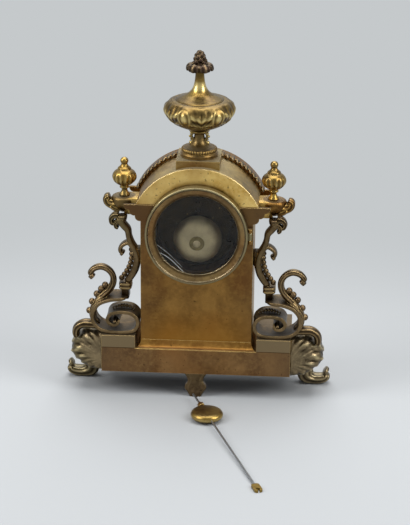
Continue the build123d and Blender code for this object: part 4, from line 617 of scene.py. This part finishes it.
def sprays(turn, height):
    """Relief round the bowl: six bays, each with an upright boss in a ring and leaves that fan out both ways.

    The boss is a bell of the distance from its middle, the ring a bell about a fixed distance, and the leaves
    are a cosine of the angle round a point low between two bosses, turned further with the distance; all fade
    above and below.
    """
    fade = np.sin(np.pi * np.clip((height - 286) / 23.6, 0, 1)) ** 0.4
    rise = (height - 298) / 9.5
    bay = np.abs((turn * 6 / (2 * np.pi) - 0.117 + 0.5) % 1 * 2 - 1)
    far = np.hypot(bay * 5.6, rise * 1.7)
    boss = np.exp(-(far**4))
    ring = np.exp(-(((far - 1.9) / 0.4) ** 2))
    swing = np.arctan2(rise + 1.3, 1.2 - bay)
    length = np.hypot(rise + 1.3, 2 * (1.2 - bay))
    leaf = np.cos(11 * swing + 3 * length) + 0.4 * np.cos(27 * swing - 3 * length)
    leaf = leaf * np.clip((far - 1.9) * 1.3, 0, 1)
    leafy = fade * (1.3 * boss + 0.9 * ring + (1 - ring) * leaf)
    return 0.9 * leafy, np.clip(0.5 + 0.42 * leafy, 0, 1) * fade + 0.42 * (1 - fade)


def neck_painted_highlight(turn, height):
    """No swelling; the neck is darker at its top and on its dish, with a painted highlight round its middle."""
    return 0, 0.18 + 0.74 * np.exp(-(((height - 325) / 7) ** 2))


foot_profile = [
    (4, 252.1), (17.8, 252.15), (18.7, 253.2), (18.9, 254.8), (18.2, 256.2), (17, 256.7), (17.6, 257.4),
    (18, 259), (17.2, 260.6), (15.6, 261.2), (13, 261.8), (9.6, 263.6), (7, 266.6), (5.7, 270), (5.1, 273.6),
    (5.3, 275), (6.6, 275.6), (6.8, 276.6), (7.6, 277.4), (10.4, 278),
]
foot_beads = gadroons(40, 256.9, 261.2, 1.1)
urn_foot = turned(foot_profile, 120, 0, 0, foot_beads, 160)
make_piece("urn_foot_turned", [urn_foot], carved_brown, "case", ["urn_foot"])

stem_scroll = [
    (4.6, 276, 1.4, 2.4), (7, 275, 1.4, 2.6), (8, 271.6, 1.4, 2.6), (6.2, 268.4, 1.3, 2.4),
    (7.8, 265.4, 1.4, 2.4), (10, 263.4, 1.3, 2.2),
]
stem_beads = [(8.4, 275), (9.4, 271.8), (8.2, 268.8), (9.2, 266)]
stem_bead_radii = np.repeat([[1.3], [1.3], [1.2], [1.2]], 3, axis=1)
handles = []
for side, _ in sides:
    handles.append(swept(stem_scroll, 56, 0, side, around=20))
    handles.append(bead_row(stem_beads, 0, side, stem_bead_radii, high=0.75))
make_piece("urn_stem_scrolls", handles, carved_gold, "case")

# Golden leaves stand out from a browned ground.
sprayed_bowl_brass = aged_brass(
    "sprayed_bowl_brass", "#5e4a28", "#80693c", "#9a8049", "#e6ce88", 0.26, 0.4, carved=True, dust=0.12,
)
bowl_profile = [
    (2, 278.1), (8, 278.3), (9.4, 280), (14, 281.4), (22, 284.6), (29, 289.4), (33.4, 295), (35.3, 300.4),
    (34.4, 305), (31.4, 308.4), (28, 310), (25.4, 310.3), (2, 310.1),
]
bowl = turned(bowl_profile, 150, 0, 0, sprays, 300)
make_piece("urn_bowl_sprays", [bowl], sprayed_bowl_brass, "case", ["urn_bowl"])

neck_profile = [
    (2, 309.6), (23.4, 309.7), (24.3, 310.3), (22.8, 311.4), (18, 313.5), (12.6, 316.2), (8.8, 319.6),
    (6.6, 323.6), (5.4, 328), (4.7, 333), (4.5, 337.6), (5, 338.6), (4.4, 339.3), (1, 339.4),
]
neck = turned(neck_profile, 120, 0, 0, neck_painted_highlight)
make_piece("urn_neck_turned", [neck], carved_gold, "case", ["urn_neck"])

# Nearly black with little gloss, so that the bud ends the urn as a dark knot.
dark_bud_brass = aged_brass(
    "dark_bud_brass", "#2b211b", "#4b3c33", "#65523f", "#8d7752", 0.36, 0.5, carved=True, dust=0.1,
)
bud_core = [
    (1, 339.2), (4.4, 339.4), (4.8, 341), (6, 344), (6.6, 346), (5.4, 348), (4.6, 353), (3, 357),
    (1.2, 359.4), (0.2, 359.8),
]
bud_leaf = [
    (3.4, 338.8, 1.4, 3), (5.6, 342.6, 1.7, 4.2), (8.4, 345.6, 2, 5.2), (10.8, 344.8, 2.1, 5.4),
    (11.6, 342.2, 2.1, 5), (11, 340.4, 1.9, 4.2),
]
leaf = swept(bud_leaf, 40, 0, 1, around=24, veins=5, vein_height=0.16)
leaf_turns = spun(np.radians(np.arange(6) * 60), 0, 1)
# Berries climb the bud by the golden angle, each at its share of the height.
golden_angle = 2.39996
berry_count, berry_radius = 20, 2.4
berry_turn = np.arange(berry_count) * golden_angle
berry_height = (np.arange(berry_count) + 0.5) / berry_count
berry_round = 5.4 * (1 - berry_height**1.6) ** 0.6
berry_places = np.column_stack([
    berry_round * np.cos(berry_turn), berry_round * np.sin(berry_turn), 347.4 + 11.6 * berry_height,
])
bud = [
    turned(bud_core, 60, 0, 0, around=40),
    copies(leaf, leaf_turns, np.zeros((6, 3))),
    copies(ball(high=0.5), np.tile(berry_radius * np.eye(3), (berry_count, 1, 1)), berry_places),
]
make_piece("urn_bud_leaves", bud, dark_bud_brass, "case", ["urn_bud"])

# Rear door: a hinged brass ring with a beaded rim, whose face slopes in to the glass over the bell.
# The ring is turned brass, and so is the bezel of the dial side; the rear glass is old and cracked.

# Pale and smooth; painted shade lines at the glass and inside the rim, and a painted highlight on the bead,
# make the ring look stepped.
ring_painted_shade_and_highlight = [
    ("radius", 0.0452, 0.0435, 0.75, "#2e2114"),
    ("radius", 0.0487, 0.0488, 0.8, "#2e2114"),
    ("radius", 0.05, 0.0502, 0.85, "#8f8462"),
]
door_ring_brass = aged_brass(
    "door_ring_brass", "#675136", "#8b724a", "#a08858", "#efe0b8", 0.24, 0.4, dust=0.2, bands=ring_painted_shade_and_highlight,
)
finish(door_ring_brass, "rear_door_ring", "front_bezel")

# Clear under a film of grime 12 mm wide, so that the movement shows dark behind it.
# Its index is low, since a darker room than this one is mirrored in the real glass.
window_glass, tree = new_material("window_glass")
place = add(tree, "ShaderNodeTexCoord")["Object"]
film = add(tree, "ShaderNodeTexNoise", {"Vector": place, "Scale": 83, "Detail": 4})["Fac"]
haze = add(tree, "ShaderNodeMapRange", {
    "Value": film, "From Min": 0.4, "From Max": 0.75, "To Min": 0.02, "To Max": 0.09,
})[0]
pane = add(tree, "ShaderNodeBsdfPrincipled", {
    "Base Color": linear("#e9e8e3"), "Transmission Weight": 1.0, "IOR": 1.25, "Roughness": haze,
})[0]
add(tree, "ShaderNodeOutputMaterial", {"Surface": pane})
finish(window_glass, "rear_glass", "front_glass")


def mottled(name, scale, detail, dark, light):
    """New material in two tones mixed by a noise; hands back material, tree, place, noise and colour."""
    material, tree = new_material(name)
    place = add(tree, "ShaderNodeTexCoord")["Object"]
    noise = add(tree, "ShaderNodeTexNoise", {"Vector": place, "Scale": scale, "Detail": detail})["Fac"]
    colour = add(tree, "ShaderNodeMix", {0: noise, 6: linear(dark), 7: linear(light)}, data_type="RGBA")[2]
    return material, tree, place, noise, colour


# Broken edges catch the light: a pale line with glints 1 mm long.
crack_edge, tree, _, _, colour = mottled("cracked_glass_edge", 900, 2, "#8f938c", "#e4e6df")
pale = add(tree, "ShaderNodeBsdfPrincipled", {"Base Color": colour, "Roughness": 0.3})[0]
add(tree, "ShaderNodeOutputMaterial", {"Surface": pale})
glass_face = 33.95
long_crack = [(x, z, 0.3, 0.12) for x, z in ((40.4, 159.4), (32.5, 155.8), (24.5, 149.9), (12.3, 137.4))]
short_crack = [(x, z, 0.12, 0.1) for x, z in ((40.2, 167), (27.4, 156.7), (14.3, 143.2))]
crack = [swept(long_crack, 60, glass_face, 1, around=8), swept(short_crack, 40, glass_face, 1, around=8)]
make_piece("rear_glass_crack", crack, crack_edge, "rear_door")

# Dial side: a white dial with black Roman hours and a minute track, screwed to the front plate.
# Enamel fired on copper, with the black fired on top of it.

# Milky white with a wet shine, and slow waves 6 mm wide.
enamel, tree, _, waves, colour = mottled("white_enamel", 160, 3, "#e9e4d4", "#f6f3e8")
ripple = add(tree, "ShaderNodeBump", {"Height": waves, "Strength": 0.05, "Distance": 0.0004})[0]
glaze = add(tree, "ShaderNodeBsdfPrincipled", {
    "Base Color": colour, "Roughness": 0.12, "Coat Weight": 0.6, "Coat Roughness": 0.05, "Normal": ripple,
})[0]
add(tree, "ShaderNodeOutputMaterial", {"Surface": glaze})
finish(enamel, "dial")

# Deep black with specks 0.7 mm wide, a little shiny.
black_enamel, tree, _, _, colour = mottled("fired_black_enamel", 1400, 2, "#0b0b0e", "#24242a")
fired = add(tree, "ShaderNodeBsdfPrincipled", {"Base Color": colour, "Roughness": 0.25})[0]
add(tree, "ShaderNodeOutputMaterial", {"Surface": fired})

hours = ["XII", "I", "II", "III", "IIII", "V", "VI", "VII", "VIII", "IX", "X", "XI"]
dial_face, hour_ring = -0.02705, 0.0335
letter_size, letter_squeeze, letter_thickness = 0.0098, 0.62, 0.00004
points, faces = [], []
for hour, letters in enumerate(hours):
    text = bpy.data.curves.new("hour", "FONT")
    text.body, text.size, text.extrude = letters, letter_size, letter_thickness
    text.align_x = text.align_y = "CENTER"
    carrier = bpy.data.objects.new("hour", text)
    shape = carrier.to_mesh()
    flat = np.empty(len(shape.vertices) * 3)
    corners = np.empty(len(shape.loops), np.int32)
    sizes = np.empty(len(shape.polygons), np.int32)
    shape.vertices.foreach_get("co", flat)
    shape.loops.foreach_get("vertex_index", corners)
    shape.polygons.foreach_get("loop_total", sizes)
    faces += [face.tolist() for face in np.split(corners + len(points), np.cumsum(sizes)[:-1])]
    x, y, z = flat.reshape(-1, 3).T
    x, up = x * letter_squeeze, y + hour_ring
    angle = radians(30 * hour)
    points += np.column_stack([
        x * np.cos(angle) + up * np.sin(angle), dial_face - z,
        axis_height / 1000 - x * np.sin(angle) + up * np.cos(angle),
    ]).tolist()
    carrier.to_mesh_clear()
    bpy.data.objects.remove(carrier)
    bpy.data.curves.remove(text)
mesh = bpy.data.meshes.new("hour_numerals")
mesh.from_pydata(points, [], faces)
link_piece(mesh, black_enamel, "case")

minute_turns = np.radians(np.arange(60) * 6)
minute_ring, minute_depth = 40.4, -27.06
minute_places = round_dial(minute_ring, minute_depth, minute_turns)
tick = stacked([(-0.9, 0.16, 0.04), (0.9, 0.16, 0.04)], 0, 0, 1)
ticks = copies(tick, spun(minute_turns, 2, 0), minute_places)
make_piece("minute_track", [ticks], black_enamel, "case")

# Movement: brass plates, wheels and barrels, steel arbors, and the bell on its post behind the back plate.
# Old lacquered brass gone dull; the steel is grey, and the hands and their nut are blued.


def plain_metal(name, dark, light, smooth, rough, scale):
    """Worked metal: two tones in streaks of the given scale, with turning marks 0.5 mm apart as bump."""
    material, tree = new_material(name)
    place = add(tree, "ShaderNodeTexCoord")["Object"]
    tone = add(tree, "ShaderNodeTexNoise", {
        "Vector": place, "Scale": scale, "Detail": 4, "Roughness": 0.6,
    })["Fac"]
    marks = add(tree, "ShaderNodeTexNoise", {"Vector": place, "Scale": 2000, "Detail": 2})["Fac"]
    share = add(tree, "ShaderNodeMapRange", {"Value": tone, "From Min": 0.35, "From Max": 0.65})[0]
    colour = add(tree, "ShaderNodeMix", {0: share, 6: linear(dark), 7: linear(light)}, data_type="RGBA")[2]
    gloss = add(tree, "ShaderNodeMapRange", {
        "Value": tone, "From Min": 0.3, "From Max": 0.7, "To Min": smooth, "To Max": rough,
    })[0]
    bump = add(tree, "ShaderNodeBump", {"Height": marks, "Strength": 0.08, "Distance": 0.0003})[0]
    metal = add(tree, "ShaderNodeBsdfPrincipled", {
        "Base Color": colour, "Metallic": 1.0, "Roughness": gloss, "Normal": bump,
    })[0]
    add(tree, "ShaderNodeOutputMaterial", {"Surface": metal})
    return material


# The back plate is almost black, tarnish and painted shade, so that the bell stands out as a pale silky disc;
# the wheels are dull yellow, the arbors grey, anchor and hammer dark brown as painted shade, and the hands deep
# blue.
# Streaks are 8 mm wide on brass, 5 mm on steel and 17 mm on the bell.
plate_brass = plain_metal("tarnished_and_shaded_plate_brass", "#1d1811", "#3a2f1d", 0.4, 0.6, 120)
movement_brass = plain_metal("movement_brass", "#5c4a28", "#836c3a", 0.3, 0.5, 120)
grey_steel = plain_metal("grey_steel", "#6f7072", "#a2a4a6", 0.25, 0.42, 200)
steel_darkened_as_shade = plain_metal("steel_darkened_as_shade", "#1b1a19", "#33302c", 0.35, 0.5, 200)
blued_steel = plain_metal("blued_steel", "#141a36", "#22305c", 0.18, 0.3, 200)
bell_metal = plain_metal("bell_metal", "#b2a68a", "#d4c7a6", 0.54, 0.68, 60)
finish(plate_brass, "back_plate", "suspension")
finish(
    movement_brass,
    "front_plate", "plate_pillars", "movement_straps", "going_barrel", "strike_barrel", "centre_wheel",
    "third_wheel", "escape_wheel", "strike_second_wheel", "pin_wheel", "fly", "cannon_pinion", "minute_wheel",
    "hour_wheel",
)
finish(grey_steel, "going_winding_arbor", "strike_winding_arbor", "case_screws", "urn_rod")
finish(steel_darkened_as_shade, "anchor", "hammer")
finish(blued_steel, "minute_hand", "hour_hand", "hand_nut")
finish(bell_metal, "bell", "bell_stand")

# Bell washer: the domed washer between the bell's crown and its nut.
# Turned brass, slipped over the bell's post and held by the nut.

# Dull yellow, a darker dot in the middle of the bell.
washer_brass = plain_metal("washer_brass", "#6a5f42", "#8d8058", 0.3, 0.45, 200)
bell_axis = 166.8
washer_profile = [(4.6, -26.9), (7.2, -26.9), (7.6, -27.3), (7.2, -28), (6, -28.4), (4.6, -28.5)]
upright, *rest = turned(washer_profile, 24, 0, 0, around=48)
washer = upright[:, [0, 2, 1]] * (1, -1, 1) + (0, 0, bell_axis)
make_piece("bell_crown_washer", [(washer, *rest)], washer_brass, "case")

# Pendulum: a lens bob on a steel rod with a brass clip at its end, laid on the table behind the clock.
# The bob is turned brass, once gilt; the rating nut beside it runs on the rod's thread.

# Grey steel up to the clip and dull brass beyond it, with wear 3 mm wide in both.
rod_metal, tree, place, wear, steel_tone = mottled("pendulum_steel_and_clip", 300, 4, "#77797b", "#aeb0b2")
rod_run, clip_start = (-0.3583, 0.9335, -0.024), 0.2385
along = add(tree, "ShaderNodeVectorMath", {0: place, 1: rod_run}, operation="DOT_PRODUCT")["Value"]
clip = add(tree, "ShaderNodeMapRange", {
    "Value": along, "From Min": clip_start, "From Max": clip_start + 0.0001,
})[0]
clip_tone = add(tree, "ShaderNodeMix", {
    0: wear, 6: linear("#6f5a2c"), 7: linear("#a48a4a"),
}, data_type="RGBA")[2]
both = add(tree, "ShaderNodeMix", {0: clip, 6: steel_tone, 7: clip_tone}, data_type="RGBA")[2]
metal = add(tree, "ShaderNodeBsdfPrincipled", {"Base Color": both, "Metallic": 1.0, "Roughness": 0.36})[0]
add(tree, "ShaderNodeOutputMaterial", {"Surface": metal})
finish(rod_metal, "pendulum_rod")
# Golden where fingers turn it.
rubbed_brass = aged_brass("rubbed_brass", "#7d5a28", "#b08a42", "#c6a050", "#ecd08a", 0.24, 0.4, dust=0.2)
finish(rubbed_brass, "rating_nut")


def rim_tint(turn, height):
    """No swelling; the bob is darker on its faces and brighter round its rim."""
    return 0, 0.26 + 0.5 * np.exp(-(((height - 5) / 3) ** 2))


bob_profile = [
    (0.4, 0.1), (9, 0.3), (13.6, 1.6), (16, 3.8), (16.5, 5.5), (16.1, 7.2), (14.4, 9), (11.5, 10), (6, 10.7),
    (0.4, 10.9),
]
bob_x, bob_y = -15.5, 88
bob = turned(bob_profile, 64, bob_x, bob_y, rim_tint)
make_piece("lens_bob", [bob], carved_gold, "pendulum", ["pendulum_bob"])

# Floor: one wide round sheet of pale grey paper under the clock.
# Matt, with a fine fibre; it fades to the pale tone of the room away from the clock, so that no edge shows.


def seen(tree):
    """One for rays by which things are looked at, straight, mirrored or through glass, nought for the rest."""
    sight = add(tree, "ShaderNodeLightPath")
    rays = sight["Is Camera Ray"]
    for way in ("Is Glossy Ray", "Is Transmission Ray"):
        rays = add(tree, "ShaderNodeMath", {0: rays, 1: sight[way]}, operation="MAXIMUM")[0]
    return rays


# Soft grey without shine, and a fibre 1 mm long that is barely seen.
pale_room = linear("#c5c9cb")
paper, tree, place, _, colour = mottled("grey_paper", 900, 3, "#999b9d", "#9fa2a4")
matt = add(tree, "ShaderNodeBsdfPrincipled", {"Base Color": colour, "Roughness": 0.85})[0]
away = add(tree, "ShaderNodeVectorMath", {0: place, 1: (0, 0.25, 0)}, operation="DISTANCE")["Value"]
far = add(tree, "ShaderNodeMapRange", {
    "Value": away, "From Min": 0.25, "From Max": 0.8,
}, interpolation_type="SMOOTHSTEP")[0]
share = add(tree, "ShaderNodeMath", {0: seen(tree), 1: far}, operation="MULTIPLY")[0]
glow = add(tree, "ShaderNodeEmission", {"Color": pale_room})[0]
sweep = add(tree, "ShaderNodeMixShader", {0: share, 1: matt, 2: glow})[0]
add(tree, "ShaderNodeOutputMaterial", {"Surface": sweep})
floor_radius, rim_count = 9, 96
rim = np.linspace(0, 2 * np.pi, rim_count, endpoint=False)
mesh = bpy.data.meshes.new("paper_floor")
mesh.from_pydata(
    np.column_stack([floor_radius * np.cos(rim), floor_radius * np.sin(rim), 0 * rim]).tolist(), [],
    [list(range(rim_count))],
)
mesh.materials.append(paper)
paper_floor = bpy.data.objects.new("paper_floor", mesh)
bpy.context.scene.collection.objects.link(paper_floor)

# Light: two tall softboxes beside the camera, one overhead, one over the far paper, and a grey room.
# The room lights the brass softly from all round; where it is looked at, it is as pale as the far paper.

for name, place, aim, size, power in (
    ("softbox_left", (1.5, 0.6, 1.4), (0, 0, 0.18), (0.8, 1.3), 30),
    ("softbox_right", (-1.5, 0.6, 1.4), (0, 0, 0.18), (0.8, 1.3), 30),
    ("softbox_top", (0, -0.3, 2.1), (0, 0.1, 0.1), (1.6, 1.6), 46),
    ("softbox_far", (0, -2.2, 2.6), (0, -1.7, 0), (2.4, 1.6), 36),
):
    lamp = bpy.data.lights.new(name, "AREA")
    lamp.shape, lamp.size, lamp.size_y, lamp.energy = "RECTANGLE", size[0], size[1], power
    holder = bpy.data.objects.new(name, lamp)
    holder.location = place
    back = (Vector(place) - Vector(aim)).normalized()
    holder.rotation_euler = back.to_track_quat("Z", "Y").to_euler()
    bpy.context.scene.collection.objects.link(holder)
room = bpy.data.worlds.new("grey_room")
room.use_nodes = True
tree = room.node_tree
tree.nodes.clear()
air = add(tree, "ShaderNodeMix", {0: seen(tree), 6: linear("#7d8083"), 7: pale_room}, data_type="RGBA")[2]
walls = add(tree, "ShaderNodeBackground", {"Color": air})[0]
add(tree, "ShaderNodeOutputWorld", {"Surface": walls})
scene = bpy.context.scene
scene.world = room

# Camera: behind the clock, two metres off and looking down on it, as in the photograph.
# A long lens, so that the uprights stay nearly parallel.

lens = bpy.data.cameras.new("camera")
lens.sensor_fit, lens.sensor_height, lens.lens = "VERTICAL", 36, 130.35
camera = bpy.data.objects.new("camera", lens)
camera.location = (-0.1213, 1.826, 0.839)
camera.rotation_euler = (radians(68.98), radians(-0.47), radians(183.77))
scene.collection.objects.link(camera)
scene.camera = camera
scene.view_settings.view_transform = "Standard"
